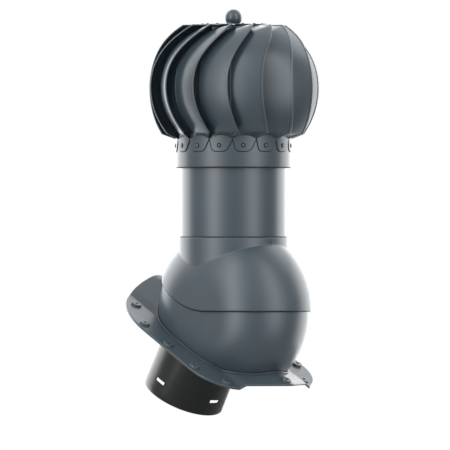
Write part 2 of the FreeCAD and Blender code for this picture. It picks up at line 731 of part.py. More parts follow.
def make_stack_pipe():
    """Vertical pipe from the hood's neck up into the turbine's ring."""
    body = new_body("StackPipe", PIPE_SEAT)
    bore = "[pipe_radius] - [pipe_wall]"
    turned(body, outline(body, "XZ_Plane", tube_corners("[pipe_radius]", bore, "0", "[pipe_length]"),
                         "PipeProfile"), "V_Axis", "PipeForm")
    drilled = doc.addObject("Part::Cut", "DrilledPipe")
    drilled.Base = body
    drilled.Tool = radial_drills("PipeHoles", "arm_count", 0, BRACKET_LEVEL + " - [foot_height] / 2")
    return keep(drilled, "stack_pipe")


# Rivets

def rivet(grip):
    """Blind rivet along +Z with its seat at 0: domed head above, closed end under the grip."""
    head_radius = size("rivet_head_radius")
    head_height = size("rivet_head_height")
    shank = size("rivet_shank_radius")
    tail = size("rivet_tail")
    cap_radius = (head_radius * head_radius + head_height * head_height) / (2 * head_height)
    head = Part.makeSphere(cap_radius, Vector(0, 0, head_height - cap_radius))
    head = head.common(Part.makeCylinder(cap_radius, head_height))
    stem = Part.makeCylinder(shank, grip + tail, Vector(0, 0, -grip - tail))
    closed_end = Part.makeCylinder(shank * 1.4, tail, Vector(0, 0, -grip - tail))
    return head.fuse([stem, closed_end]).removeSplitter().Solids[0]


def pointing_out(shape, radius, level, angle):
    """Turn a shape that stands on +Z so that it points outwards, at a radius, level and angle."""
    placed = shape.copy()
    placed.Placement = FreeCAD.Placement(
        Vector(radius * math.cos(math.radians(angle)), radius * math.sin(math.radians(angle)), level),
        FreeCAD.Rotation(Z_AXIS, angle).multiply(FreeCAD.Rotation(Vector(0, 1, 0), 90)))
    return placed


def group(name, shapes):
    """One document object that holds several separate solids."""
    feature = doc.addObject("Part::Feature", name)
    feature.Shape = Part.makeCompound(shapes)
    return feature


def drill_radius():
    """Hole for a rivet's shank."""
    return size("rivet_shank_radius") + size("rivet_play")


def radial_drills(name, count_name, phase, level):
    """Drills that point outwards through a wall at even steps round the stack."""
    count = int(size(count_name))
    length = size("collar_radius") * 1.5
    drill = Part.makeCylinder(drill_radius(), length)
    return group(name, [pointing_out(drill, 0, worth(level), phase + 360 / count * index)
                        for index in range(count)])


def make_spider_rivets():
    """Rivets that hold the bracket's feet to the pipe."""
    count = int(size("arm_count"))
    grip = size("pipe_wall") + size("foot_wall") + size("rivet_slack")
    level = worth(BRACKET_LEVEL + " - [foot_height] / 2")
    single = rivet(grip)
    return keep(group("SpiderRivets", [
        pointing_out(single, size("pipe_radius"), level, 360 / count * index)
        for index in range(count)]), "spider_rivets")


def blade_step():
    """Angle from one blade to the next."""
    return 360 / size("blade_count")


def tab_angle():
    """Direction of the first blade's tab."""
    return size("rotor_phase") - size("tab_lag")


def crown_rivet_angle():
    """Direction of the first blade's rivet in the disc."""
    return size("rotor_phase") + crown_lead(size("disc_rivet_radius")) - size("crown_span") / 2


def make_tab_rivets():
    """One rivet through each blade's tab into the ring."""
    grip = size("blade_sheet") + size("tab_gap") + size("collar_wall") + size("rivet_slack")
    radius = worth(TAB_RADIUS) + size("blade_sheet")
    level = worth(FOLD) - size("tab_rivet_drop")
    single = rivet(grip)
    return keep(group("TabRivets", [
        pointing_out(single, radius, level, tab_angle() + blade_step() * index)
        for index in range(int(size("blade_count")))]), "tab_rivets")


def crown_place(index):
    """Place of a rivet in the disc."""
    angle = math.radians(crown_rivet_angle() + blade_step() * index)
    return Vector(size("disc_rivet_radius") * math.cos(angle),
                  size("disc_rivet_radius") * math.sin(angle), worth(DISC_TOP))


def make_disc_rivets():
    """One rivet through the disc into each blade's flat end."""
    grip = size("disc_thickness") + size("blade_sheet") + size("crown_sag") + size("rivet_slack")
    single = rivet(grip)
    shapes = []
    for index in range(int(size("blade_count"))):
        placed = single.copy()
        placed.translate(crown_place(index))
        shapes.append(placed)
    return keep(group("DiscRivets", shapes), "disc_rivets")


# Turbine

def crown_lead(radius):
    """Lead of the outer edge on the flat top at a radius: it grows towards the middle."""
    rim = outer_edge_radius(size("crown_rise"))
    share = (rim - radius) / (rim - size("crown_inner_radius"))
    return size("outer_high_twist") + (size("crown_twist") - size("outer_high_twist")) * share


def outer_edge_radius(rise):
    """Radius of a blade's outer edge at a height above the belly: two quarter ellipses."""
    depth = size("outer_high_depth") if rise > 0 else size("outer_low_depth")
    return size("turbine_radius") * math.sqrt(1 - (rise / depth) ** 2)


def inner_edge_radius(rise):
    """Radius of a blade's inner edge at a height above the belly: an ellipse."""
    return size("inner_radius") * math.sqrt(1 - (rise / size("inner_depth")) ** 2)


def outer_edge_lead(rise):
    """Lead of the outer edge in degrees: none at the belly, more towards both ends."""
    if rise < 0:
        return size("outer_low_twist") * (rise / size("outer_edge_drop")) ** 2
    return size("outer_high_twist") * (rise / size("crown_rise")) ** 2.56


def inner_edge_lead(rise):
    """Lead of the inner edge in degrees, behind the outer edge's belly."""
    span = size("blade_span")
    if rise < 0:
        return size("inner_low_twist") * (rise / size("inner_edge_drop")) ** 2 - span
    final = size("crown_twist") - size("crown_span") + span
    return final * (rise / size("crown_rise")) ** 5.85 - span


def tab_rows():
    """Rows across a tab from its end up to the fold: (height over belly, half angle)."""
    height = size("tab_height")
    fold = -size("belly_rise")
    half = size("tab_half_angle")
    return [
        (fold - height, half * 0.42),
        (fold - height * 0.96, half * 0.58),
        (fold - height * 0.86, half * 0.74),
        (fold - height * 0.66, half * 0.86),
        (fold - height * 0.33, half * 0.95),
        (fold, half),
    ]


def blade_rows():
    """Rows across a blade, from the tab's end to under the disc.

    A row holds (radius, lead, rise) at the outer edge and at the inner edge.
    """
    tab_radius = worth(TAB_RADIUS) + size("blade_sheet")
    rows = []
    for rise, half in tab_rows():
        rows.append(((tab_radius, half - size("tab_lag"), rise),
                     (tab_radius, -half - size("tab_lag"), rise)))
    outer_low = -size("outer_edge_drop")
    inner_low = -size("inner_edge_drop")
    crown = size("crown_rise")
    outer_start = math.asin(outer_low / size("outer_low_depth"))
    outer_end = math.asin(crown / size("outer_high_depth"))
    inner_start = math.asin(inner_low / size("inner_depth"))
    inner_end = math.acos(size("crown_join_radius") / size("inner_radius"))
    for index in range(BODY_STEPS + 1):
        share = index / BODY_STEPS
        outer_turn = outer_start + (outer_end - outer_start) * share
        depth = size("outer_high_depth") if outer_turn > 0 else size("outer_low_depth")
        outer_rise = depth * math.sin(outer_turn)
        inner_rise = size("inner_depth") * math.sin(inner_start + (inner_end - inner_start) * share)
        rows.append(((outer_edge_radius(outer_rise), outer_edge_lead(outer_rise), outer_rise),
                     (inner_edge_radius(inner_rise), inner_edge_lead(inner_rise), inner_rise)))
    rim = outer_edge_radius(crown)
    last = size("crown_inner_radius")
    for index in range(1, CROWN_STEPS + 1):
        share = index / CROWN_STEPS
        outer_radius = rim + (last - rim) * share
        inner_radius = size("crown_join_radius") + (last - size("crown_join_radius")) * share
        inner_rise = min(crown, size("inner_depth") * math.sqrt(1 - (inner_radius / size("inner_radius")) ** 2))
        inner_lead = inner_edge_lead(inner_rise)
        rows.append(((outer_radius, crown_lead(outer_radius), crown),
                     (inner_radius, inner_lead, inner_rise)))
    return rows


def blade_point(row, share, belly):
    """Point on a blade between the outer edge (share 0) and the inner edge (share 1)."""
    outer, inner = row
    radius, lead, rise = (a + (b - a) * share for a, b in zip(outer, inner))
    angle = math.radians(size("rotor_phase") + lead)
    return Vector(radius * math.cos(angle), radius * math.sin(angle), belly + rise)


def across_row(points):
    """Smooth edge through the points of one row."""
    curve = Part.BSplineCurve()
    curve.interpolate(points)
    return curve.toShape()


def sheet_direction(grid, row, place):
    """Direction off the sheet at a point of the grid, away from the turbine's inside."""
    along = Vector(0, 0, 0)
    if row > 0:
        along += (grid[row][place] - grid[row - 1][place]).normalize()
    if row < len(grid) - 1:
        along += (grid[row + 1][place] - grid[row][place]).normalize()
    before = max(place - 1, 0)
    after = min(place + 1, len(grid[row]) - 1)
    return (grid[row][before] - grid[row][after]).cross(along).normalize()


def blade_section(outer_points, inner_points):
    """Closed outline of the sheet along one row."""
    ends = [Part.LineSegment(outer_points[-1], inner_points[-1]).toShape(),
            Part.LineSegment(inner_points[0], outer_points[0]).toShape()]
    return Part.Wire([across_row(outer_points), ends[0], across_row(inner_points[::-1]), ends[1]])


def blade_end(outer_points, section):
    """Edge face of the sheet that closes a blade at its first or last row."""
    return Part.makeRuledSurface(section.Edges[0], section.Edges[2])


def blade_shape():
    """A curved blade of even sheet: tab, bend, belly and flat end, lofted through its rows."""
    belly = worth(BELLY)
    rows = blade_rows()
    shares = [index / 8 for index in range(9)]
    outer = [[blade_point(row, share, belly) for share in shares] for row in rows]
    sections = []
    for row, line in enumerate(outer):
        under = [point - sheet_direction(outer, row, place) * size("blade_sheet")
                 for place, point in enumerate(line)]
        sections.append(blade_section(line, under))
    fold = len(tab_rows()) - 1
    flat = len(rows) - 1 - CROWN_STEPS
    faces = [blade_end(outer[0], sections[0]), blade_end(outer[-1], sections[-1])]
    for first, last, ruled in ((0, fold, True), (fold, fold + 1, True),
                               (fold + 1, flat, False), (flat, len(rows) - 1, True)):
        faces += Part.makeLoft(sections[first:last + 1], False, ruled).Faces
    return closed_solid(faces)


def make_blades():
    """All the blades, each drilled for its two rivets, at even steps round the head."""
    plain = blade_shape()
    reach = size("turbine_radius")
    tab_drill = pointing_out(Part.makeCylinder(drill_radius(), reach), size("pipe_radius"),
                             worth(FOLD) - size("tab_rivet_drop"), tab_angle())
    crown_drill = Part.makeCylinder(drill_radius(), reach, crown_place(0) - Vector(0, 0, reach / 2))
    drilled = plain.cut(tab_drill).cut(crown_drill)
    for index in range(int(size("blade_count"))):
        blade = doc.addObject("Part::Feature", "Blade%02d" % (index + 1))
        blade.Shape = drilled.Solids[0]
        blade.Placement = FreeCAD.Placement(ORIGIN, FreeCAD.Rotation(Z_AXIS, 0))
        bind(blade, "Placement.Rotation.Angle", "360 deg / [blade_count] * %d" % index)
        keep(blade, "blade_%02d" % (index + 1))


def make_collar_ring():
    """Ring that the blades' tabs are riveted to; it stands clear of the pipe."""
    body = new_body("CollarBody", COLLAR_LOW)
    bore = "[collar_radius] - [collar_wall]"
    height = "[collar_overlap] + [collar_headroom]"
    turned(body, outline(body, "XZ_Plane", tube_corners("[collar_radius]", bore, "0", height),
                         "CollarProfile"), "V_Axis", "CollarForm")
    ring = doc.addObject("Part::Cut", "CollarRing")
    ring.Base = body
    ring.Tool = radial_drills("CollarHoles", "blade_count", tab_angle(), FOLD + " - [tab_rivet_drop]")
    return keep(ring, "collar_ring")


def make_top_disc():
    """Disc over the blades' flat ends, with a hole for the shaft."""
    body = new_body("DiscBody", CROWN)
    turned(body, outline(body, "XZ_Plane", tube_corners("[disc_radius]", "[shaft_radius]", "0", "[disc_thickness]"),
                         "DiscProfile"), "V_Axis", "DiscForm")
    length = size("disc_radius")
    drills = []
    for index in range(int(size("blade_count"))):
        drills.append(Part.makeCylinder(drill_radius(), length, crown_place(index) - Vector(0, 0, length / 2)))
    disc = doc.addObject("Part::Cut", "TopDisc")
    disc.Base = body
    disc.Tool = group("DiscHoles", drills)
    return keep(disc, "top_disc")


def make_ball_knob():
    """Round nut that clamps the disc on the shaft from above."""
    flat = "sqrt([knob_radius] * [knob_radius] - ([knob_height] - [knob_radius]) * ([knob_height] - [knob_radius]))"
    corners = [
        ("[shaft_radius]", "0"),
        (flat, "0", "[knob_radius]", -1),
        ("[knob_radius]", "[knob_height] - [knob_radius]", "[knob_radius]", -1),
        ("0", "[knob_height]"),
        ("0", "[knob_bore_depth]"),
        ("[shaft_radius]", "[knob_bore_depth]"),
    ]
    return turned_part("BallKnob", "ball_knob", corners, DISC_TOP)


# Shaft and bearings

def make_shaft():
    """Shaft with a shoulder that rests on the upper bearing."""
    low = "(" + LOWER_BEARING + " - [shaft_tail])"
    shoulder = "(" + TUBE_TOP + " - " + low + ")"
    top = "(" + DISC_TOP + " + [knob_bore_depth] - 1 - " + low + ")"
    corners = [
        ("0", "0"),
        ("[shaft_radius]", "0"),
        ("[shaft_radius]", shoulder),
        ("[shoulder_radius]", shoulder),
        ("[shoulder_radius]", shoulder + " + [shoulder_height]"),
        ("[shaft_radius]", shoulder + " + [shoulder_height]"),
        ("[shaft_radius]", top),
        ("0", top),
    ]
    return turned_part("Shaft", "shaft", corners, low)


def make_nut(name, label, flats, height, level):
    """Hexagon nut on the shaft."""
    body = new_body(name + "Blank", level)
    corner = "(%s / sqrt(3))" % flats
    half = "(%s / sqrt(3) / 2)" % flats
    side = "(%s / 2)" % flats
    hexagon = [
        (corner, "0"), (half, side), ("-" + half, side),
        ("-" + corner, "0"), ("-" + half, "-" + side), (half, "-" + side),
    ]
    raised(body, outline(body, "XY_Plane", hexagon, name + "Hexagon"), height, name + "Form")
    hole = round_outline(body, "XY_Plane", [("0", "0", "[shaft_radius]")], name + "HoleOutline")
    cut_through(body, hole, name + "Hole")
    return keep(body, label)


def make_bearing(name, label, level):
    """Ball bearing: outer ring, balls and inner ring, open at both sides."""
    middle = "[bearing_width] / 2"
    pitch = "(([bearing_radius] + [shaft_radius]) / 2)"
    half_gap = "([race_gap] / 2)"
    groove = "([ball_radius] + [ball_play])"
    mouth = "sqrt(" + groove + " * " + groove + " - " + half_gap + " * " + half_gap + ")"
    outer_wall = pitch + " + " + half_gap
    inner_wall = pitch + " - " + half_gap
    outer_ring = [
        ("[bearing_radius]", "0"),
        ("[bearing_radius]", "[bearing_width]"),
        (outer_wall, "[bearing_width]"),
        (outer_wall, middle + " + " + mouth, groove, 1),
        (outer_wall, middle + " - " + mouth),
        (outer_wall, "0"),
    ]
    inner_ring = [
        ("[shaft_radius]", "0"),
        (inner_wall, "0"),
        (inner_wall, middle + " - " + mouth, groove, 1),
        (inner_wall, middle + " + " + mouth),
        (inner_wall, "[bearing_width]"),
        ("[shaft_radius]", "[bearing_width]"),
    ]
    turned_part(name + "OuterRing", label + "_outer_ring", outer_ring, level)
    turned_part(name + "InnerRing", label + "_inner_ring", inner_ring, level)
    count = int(size("ball_count"))
    radius = worth(pitch)
    height = worth(level + " + " + middle)
    balls = []
    for index in range(count):
        angle = 2 * math.pi * index / count
        balls.append(Part.makeSphere(size("ball_radius"),
                                     Vector(radius * math.cos(angle), radius * math.sin(angle), height)))
    keep(group(name + "Balls", balls), label + "_balls")


def make_bearing_tube():
    """Tube that holds both bearings, with an inner step between them."""
    corners = [
        ("[bearing_radius]", "0"),
        ("[bearing_radius] + [tube_wall]", "0"),
        ("[bearing_radius] + [tube_wall]", "[bearing_spacing] + [bearing_width] * 2"),
        ("[bearing_radius]", "[bearing_spacing] + [bearing_width] * 2"),
        ("[bearing_radius]", "[bearing_spacing] + [bearing_width]"),
        ("[bearing_radius] - [tube_land]", "[bearing_spacing] + [bearing_width]"),
        ("[bearing_radius] - [tube_land]", "[bearing_width]"),
        ("[bearing_radius]", "[bearing_width]"),
    ]
    return turned_part("BearingTube", "bearing_tube", corners, LOWER_BEARING)


def make_spider_bracket():
    """Three-armed bracket: ring about the bearing tube, arms and feet on the pipe's wall."""
    ring_bore = size("bearing_radius") + size("tube_wall")
    ring_outer = ring_bore + size("bracket_ring_wall")
    level = worth(BRACKET_LEVEL)
    pipe_bore = size("pipe_radius") - size("pipe_wall")
    foot_inner = pipe_bore - size("foot_wall")
    width = size("arm_width")
    shape = Part.makeCylinder(ring_outer, size("bracket_ring_height"),
                              Vector(0, 0, level - size("bracket_ring_height") / 2))
    foot_tube = Part.makeCylinder(pipe_bore, size("foot_height"), Vector(0, 0, level - size("foot_height")))
    foot_tube = foot_tube.cut(Part.makeCylinder(foot_inner, size("foot_height") * 2,
                                                Vector(0, 0, level - size("foot_height") * 1.5)))
    arm_limit = Part.makeCylinder(pipe_bore, size("arm_thickness"), Vector(0, 0, level - size("arm_thickness")))
    count = int(size("arm_count"))
    for index in range(count):
        turn = 360 / count * index
        arm = Part.makeBox(pipe_bore, width, size("arm_thickness"),
                           Vector(0, -width / 2, level - size("arm_thickness")))
        foot = Part.makeBox(pipe_bore, width, size("foot_height"), Vector(0, -width / 2, level - size("foot_height")))
        arm.rotate(ORIGIN, Z_AXIS, turn)
        foot.rotate(ORIGIN, Z_AXIS, turn)
        shape = shape.fuse(arm.common(arm_limit)).fuse(foot.common(foot_tube))
    shape = shape.cut(Part.makeCylinder(ring_bore, size("foot_height") * 2,
                                        Vector(0, 0, level - size("foot_height"))))
    drills = radial_drills("BracketHoles", "arm_count", 0, BRACKET_LEVEL + " - [foot_height] / 2")
    shape = shape.cut(Part.makeCompound([
        drill.common(Part.makeCylinder(size("pipe_radius"), size("foot_height"), Vector(0, 0, level - size("foot_height")))
                     .cut(Part.makeCylinder(foot_inner - 1, size("foot_height"),
                                            Vector(0, 0, level - size("foot_height")))))
        for drill in drills.Shape.Solids]))
    bracket = doc.addObject("Part::Feature", "SpiderBracket")
    bracket.Shape = shape.removeSplitter().Solids[0]
    return keep(bracket, "spider_bracket")


def check_and_write():
    """Stop on any failed object or bad shape, then write one file for each sub-part."""
    doc.recompute()
    for item in doc.Objects:
        if "Invalid" in item.State or "Error" in item.State:
            raise RuntimeError("%s failed: %s" % (item.Name, item.State))
    for item in finished:
        if item.Shape.isNull() or not item.Shape.isValid():
            raise RuntimeError("%s has a bad shape" % item.Label)
    os.makedirs("parts", exist_ok=True)
    for item in finished:
        item.Shape.exportStep("parts/%s.step" % item.Label)
        print("%-26s %2d solid %10.1f mm3" % (item.Label, len(item.Shape.Solids), item.Shape.Volume))


fill_sheet()
make_flashing_plate()
make_lower_shell()
make_hood()
make_duct()
make_stack_pipe()
make_spider_bracket()
make_spider_rivets()
make_bearing_tube()
make_bearing("Upper", "upper_bearing", UPPER_BEARING)
make_bearing("Lower", "lower_bearing", LOWER_BEARING)
turned_part("BearingSpacer", "bearing_spacer",
            tube_corners("[shaft_radius] + [spacer_wall]", "[shaft_radius]", "0", "[bearing_spacing]"),
            "(" + LOWER_BEARING + " + [bearing_width])")
make_shaft()
make_nut("LockNut", "lower_lock_nut", "[lock_nut_flats]", "[lock_nut_height]",
         "(" + LOWER_BEARING + " - [lock_nut_height])")
turned_part("DiscWasher", "disc_washer",
            tube_corners("[washer_radius]", "[shaft_radius]", "0", "[washer_thickness]"),
            "(" + CROWN + " - [washer_thickness])")
make_nut("DiscNut", "disc_nut", "[nut_flats]", "[nut_height]",
         "(" + CROWN + " - [washer_thickness] - [nut_height])")
make_collar_ring()
make_blades()
make_top_disc()
make_ball_knob()
make_tab_rivets()
make_disc_rivets()
check_and_write()
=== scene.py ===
import logging
import math
from dataclasses import dataclass, field
from enum import Enum
from typing import Any, Callable

import bmesh
import bpy
import numpy as np
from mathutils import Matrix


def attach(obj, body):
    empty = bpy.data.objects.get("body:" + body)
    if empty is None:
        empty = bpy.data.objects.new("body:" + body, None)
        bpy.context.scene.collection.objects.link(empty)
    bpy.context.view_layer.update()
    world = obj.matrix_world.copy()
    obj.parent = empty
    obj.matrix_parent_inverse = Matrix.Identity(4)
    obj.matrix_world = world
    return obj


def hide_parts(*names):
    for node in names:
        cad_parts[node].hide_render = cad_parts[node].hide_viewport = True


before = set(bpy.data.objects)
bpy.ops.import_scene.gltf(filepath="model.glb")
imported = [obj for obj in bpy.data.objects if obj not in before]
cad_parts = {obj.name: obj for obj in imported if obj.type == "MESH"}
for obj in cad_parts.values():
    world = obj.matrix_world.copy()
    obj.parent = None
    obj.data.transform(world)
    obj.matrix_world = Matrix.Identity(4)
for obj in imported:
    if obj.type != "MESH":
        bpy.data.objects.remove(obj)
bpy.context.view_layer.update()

LOG = logging.getLogger("cowl")
MM = 0.001
ROOF_PITCH = math.radians(30)
TILT_AXIS_RISE = 70.0
BLADE_COUNT = 15
Rows = list[np.ndarray]
Triple = tuple[float, float, float]
Measure = Callable[[np.ndarray], np.ndarray]
UP = np.array([0.0, 0.0, 1.0])
AXIS_LIFT = UP * TILT_AXIS_RISE


# Shapes

def turn_of(count: int) -> np.ndarray:
    """Even directions round a full circle, in radians."""
    return np.arange(count) * (2 * math.pi / count)


def compass(turn: float) -> np.ndarray:
    """Level unit direction at an angle in radians."""
    return np.array([math.cos(turn), math.sin(turn), 0])


def bend(before: np.ndarray, corner: np.ndarray, after: np.ndarray, radius: float, steps: int = 4) -> Rows:
    """Round a corner between two legs.

    Each row is (1-t)^2 * start + 2t(1-t) * corner + t^2 * stop, with start and stop on the legs,
    one radius away from the corner.

    Args:
        before: Points on the first leg.
        corner: Sharp corners.
        after: Points on the second leg.
        radius: Distance from the corner at which the curve starts and ends.
        steps: Divisions of the curve.

    Returns:
        The rows of the curve.
    """
    def on_leg(end: np.ndarray) -> np.ndarray:
        """Points on a leg, one radius from the corner."""
        leg = end - corner
        return corner + leg / np.maximum(np.linalg.norm(leg, axis=-1, keepdims=True), 1e-9) * radius

    start, stop = on_leg(before), on_leg(after)
    return [start * (1 - t) ** 2 + corner * 2 * t * (1 - t) + stop * t * t
            for t in np.linspace(0, 1, steps + 1)]


def rounded(corners: list[Triple], steps: int = 4) -> np.ndarray:
    """Round the corners of a closed profile.

    Args:
        corners: Radius, height and corner radius of each corner, in order.
        steps: Divisions of each rounded corner.

    Returns:
        Radius and height of each point of the profile.
    """
    points = np.array([corner[:2] for corner in corners], float)
    rows: Rows = []
    for index, (_, _, radius) in enumerate(corners):
        after = points[(index + 1) % len(points)]
        rows += bend(points[index - 1], points[index], after, radius, steps) if radius else [points[index]]
    return np.array(rows)


def tube(inner: float, outer: float, low: float, high: float, edge: float, steps: int = 4) -> np.ndarray:
    """Closed profile of a tube's wall with four rounded corners."""
    return rounded([(inner, low, edge), (outer, low, edge), (outer, high, edge), (inner, high, edge)], steps)


def revolved(profile: np.ndarray, angles: np.ndarray) -> np.ndarray:
    """Carry a profile round the Z axis: (r cos a, r sin a, z) for each profile point and angle.

    Args:
        profile: Radius and height of each profile point.
        angles: Directions in radians.

    Returns:
        Points on a grid of profile points by angles.
    """
    radius, height = profile[:, :1], profile[:, 1:]
    flat = np.ones_like(angles)
    return np.stack([radius * np.cos(angles), radius * np.sin(angles), height * flat], axis=-1)


def on_slope(points: np.ndarray) -> np.ndarray:
    """Turn points from the plate's directions to the frame's, by the roof's pitch about the X axis.

    Args:
        points: Across the plate, along it up the slope and off the roof.

    Returns:
        The points in the frame.
    """
    across, along, off = points[..., 0], points[..., 1], points[..., 2]
    cos, sin = math.cos(ROOF_PITCH), math.sin(ROOF_PITCH)
    return np.stack([across, along * cos - off * sin, along * sin + off * cos], axis=-1)


def placed(points: np.ndarray, right: np.ndarray, up: np.ndarray, out: np.ndarray,
           at: np.ndarray) -> np.ndarray:
    """Set local points on a place: x * right + y * up + z * out + at."""
    return points[..., :1] * right + points[..., 1:2] * up + points[..., 2:] * out + at


def halved(low: np.ndarray, high: np.ndarray, misses: Measure) -> np.ndarray:
    """Find where a function crosses zero, by halving the span forty times.

    Args:
        low: Values where the function is below zero.
        high: Values where it is above zero.
        misses: The function.

    Returns:
        The crossings.
    """
    for _ in range(40):
        middle = (low + high) / 2
        over = misses(middle) > 0
        high = np.where(over, middle, high)
        low = np.where(over, low, middle)
    return (low + high) / 2


class Skin:
    """Grids of points in millimetres that become one closed mesh in metres."""

    def __init__(self) -> None:
        """Start with no points."""
        self.points: Rows = []
        self.quads: Rows = []
        self.count = 0

    def grid(self, points: np.ndarray, around: bool = False, closed: bool = False,
             keep: np.ndarray | None = None) -> None:
        """Add a surface through a grid of points.

        Args:
            points: Rows by columns by three coordinates.
            around: Join the last column to the first.
            closed: Join the last row to the first.
            keep: True for each cell that stays, where some are left out.
        """
        rows, columns = points.shape[:2]
        index = np.arange(rows * columns).reshape(rows, columns) + self.count
        if closed:
            index = np.vstack([index, index[:1]])
        if around:
            index = np.hstack([index, index[:, :1]])
        quads = np.stack([index[:-1, :-1], index[:-1, 1:], index[1:, 1:], index[1:, :-1]], axis=-1)
        self.quads.append(quads[keep] if keep is not None else quads.reshape(-1, 4))
        self.points.append(points.reshape(-1, 3))
        self.count += rows * columns

    def piece(self, name: str, sharp: float = 32) -> bpy.types.Object:
        """Make the mesh object: doubles merged, normals outwards, shaded smooth between sharp edges.

        Args:
            name: Name of the object.
            sharp: Angle in degrees from which an edge is sharp.

        Returns:
            The object, linked to the scene.
        """
        mesh = bpy.data.meshes.new(name)
        mesh.from_pydata(np.concatenate(self.points) * MM, [], np.concatenate(self.quads).tolist())
        work = bmesh.new()
        work.from_mesh(mesh)
        bmesh.ops.remove_doubles(work, verts=work.verts, dist=2e-6)
        bmesh.ops.dissolve_degenerate(work, edges=work.edges, dist=1e-7)
        loose = [vert for vert in work.verts if not vert.link_faces]
        bmesh.ops.delete(work, geom=loose, context="VERTS")
        bmesh.ops.recalc_face_normals(work, faces=work.faces)
        work.to_mesh(mesh)
        work.free()
        mesh.shade_smooth()
        mesh.set_sharp_from_angle(angle=math.radians(sharp))
        made = bpy.data.objects.new(name, mesh)
        bpy.context.scene.collection.objects.link(made)
        return made


def turned_piece(name: str, profile: np.ndarray, count: int) -> bpy.types.Object:
    """Make a piece from a closed profile turned round the Z axis.

    Args:
        name: Name of the object.
        profile: Radius and height of each profile point.
        count: Divisions round the axis.

    Returns:
        The object.
    """
    skin = Skin()
    skin.grid(revolved(profile, turn_of(count)), around=True, closed=True)
    return skin.piece(name)


def fit_in(made: bpy.types.Object, body: str, slot: str, material: bpy.types.Material, *nodes: str) -> None:
    """Dress a piece, let it ride on its body and stand for its CAD nodes.

    Args:
        made: The piece.
        body: Body that it rides on.
        slot: Not used.
        material: Its material.
        nodes: CAD nodes that it replaces.
    """
    made.data.materials.append(material)
    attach(made, body)
    if nodes:
        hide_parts(*nodes)
    LOG.info("%s: %d faces on %s", made.name, len(made.data.polygons), body)


# Shader nodes

class Number:
    """A value between shader nodes; each operator adds one Math node."""

    def __init__(self, recipe: "Recipe", socket: bpy.types.NodeSocket) -> None:
        """Wrap an output socket."""
        self.recipe = recipe
        self.socket = socket

    def joined(self, operation: str, first: Any, second: Any = 0.0) -> "Number":
        """Join two values by one Math node.

        Args:
            operation: The node's operation.
            first: First value or number.
            second: Second value or number.

        Returns:
            The result.
        """
        made = self.recipe.node("ShaderNodeMath", {"operation": operation}, {0: first, 1: second})
        return Number(self.recipe, made.outputs[0])

    def __add__(self, other: Any) -> "Number":
        """Sum."""
        return self.joined("ADD", self, other)

    def __radd__(self, other: Any) -> "Number":
        """Sum, reflected."""
        return self.joined("ADD", other, self)

    def __sub__(self, other: Any) -> "Number":
        """Difference."""
        return self.joined("SUBTRACT", self, other)

    def __rsub__(self, other: Any) -> "Number":
        """Difference, reflected."""
        return self.joined("SUBTRACT", other, self)

    def __mul__(self, other: Any) -> "Number":
        """Product."""
        return self.joined("MULTIPLY", self, other)

    def __rmul__(self, other: Any) -> "Number":
        """Product, reflected."""
        return self.joined("MULTIPLY", other, self)

    def __truediv__(self, other: Any) -> "Number":
        """Quotient."""
        return self.joined("DIVIDE", self, other)

    def __rtruediv__(self, other: Any) -> "Number":
        """Quotient, reflected."""
        return self.joined("DIVIDE", other, self)

    def __abs__(self) -> "Number":
        """Size without sign."""
        return self.joined("ABSOLUTE", self)

    def eased(self, low: float, high: float) -> "Number":
        """Take a smooth step.

        Args:
            low: Value at and below which the step is 0.
            high: Value at and above which it is 1.

        Returns:
            The step.
        """
        made = self.recipe.node("ShaderNodeMapRange", {"interpolation_type": "SMOOTHSTEP"},
                                {"Value": self, "From Min": low, "From Max": high})
        return Number(self.recipe, made.outputs["Result"])


class Recipe:
    """Nodes of one material or world."""

    def __init__(self, owner: bpy.types.Material | bpy.types.World) -> None:
        """Start with an empty node tree.

        Args:
            owner: Material or world that the nodes belong to.
        """
        owner.use_nodes = True
        self.owner = owner
        self.tree = owner.node_tree
        self.tree.nodes.clear()

    def node(self, kind: str, settings: dict[str, Any] | None = None,
             sockets: dict[Any, Any] | None = None) -> bpy.types.Node:
        """Add a node.

        Args:
            kind: Type of the node.
            settings: Properties that are set first.
            sockets: A value or a link for each named or numbered input.

        Returns:
            The node.
        """
        made = self.tree.nodes.new(kind)
        for key, value in (settings or {}).items():
            setattr(made, key, value)
        for key, value in (sockets or {}).items():
            value = value.socket if isinstance(value, Number) else value
            if isinstance(value, bpy.types.NodeSocket):
                self.tree.links.new(value, made.inputs[key])
            else:
                made.inputs[key].default_value = value
        return made

    def number(self, kind: str, output: Any, settings: dict[str, Any] | None = None,
               sockets: dict[Any, Any] | None = None) -> Number:
        """One output of a new node as a number."""
        return Number(self, self.node(kind, settings, sockets).outputs[output])

    def noise(self, place: Any, scale: float, detail: float = 2.0, rough: float = 0.5) -> Number:
        """Cloudy noise between 0 and 1 at a scale per metre."""
        return self.number("ShaderNodeTexNoise", "Fac", None,
                           {"Vector": place, "Scale": scale, "Detail": detail, "Roughness": rough})

    def mixed(self, share: Any, first: Any, second: Any) -> bpy.types.NodeSocket:
        """Colour between two colours."""
        made = self.node("ShaderNodeMix", {"data_type": "RGBA"}, {0: share, 6: first, 7: second})
        return made.outputs[2]


class Grain(Enum):
    """How the skin of a finish looks from close by."""

    PAINT = "orange peel of sprayed paint"
    MOULDED = "fine pits of a moulded plastic"
    EXTRUDED = "lengthwise drawing lines of an extruded pipe"
    TURNED = "rings left by the lathe"


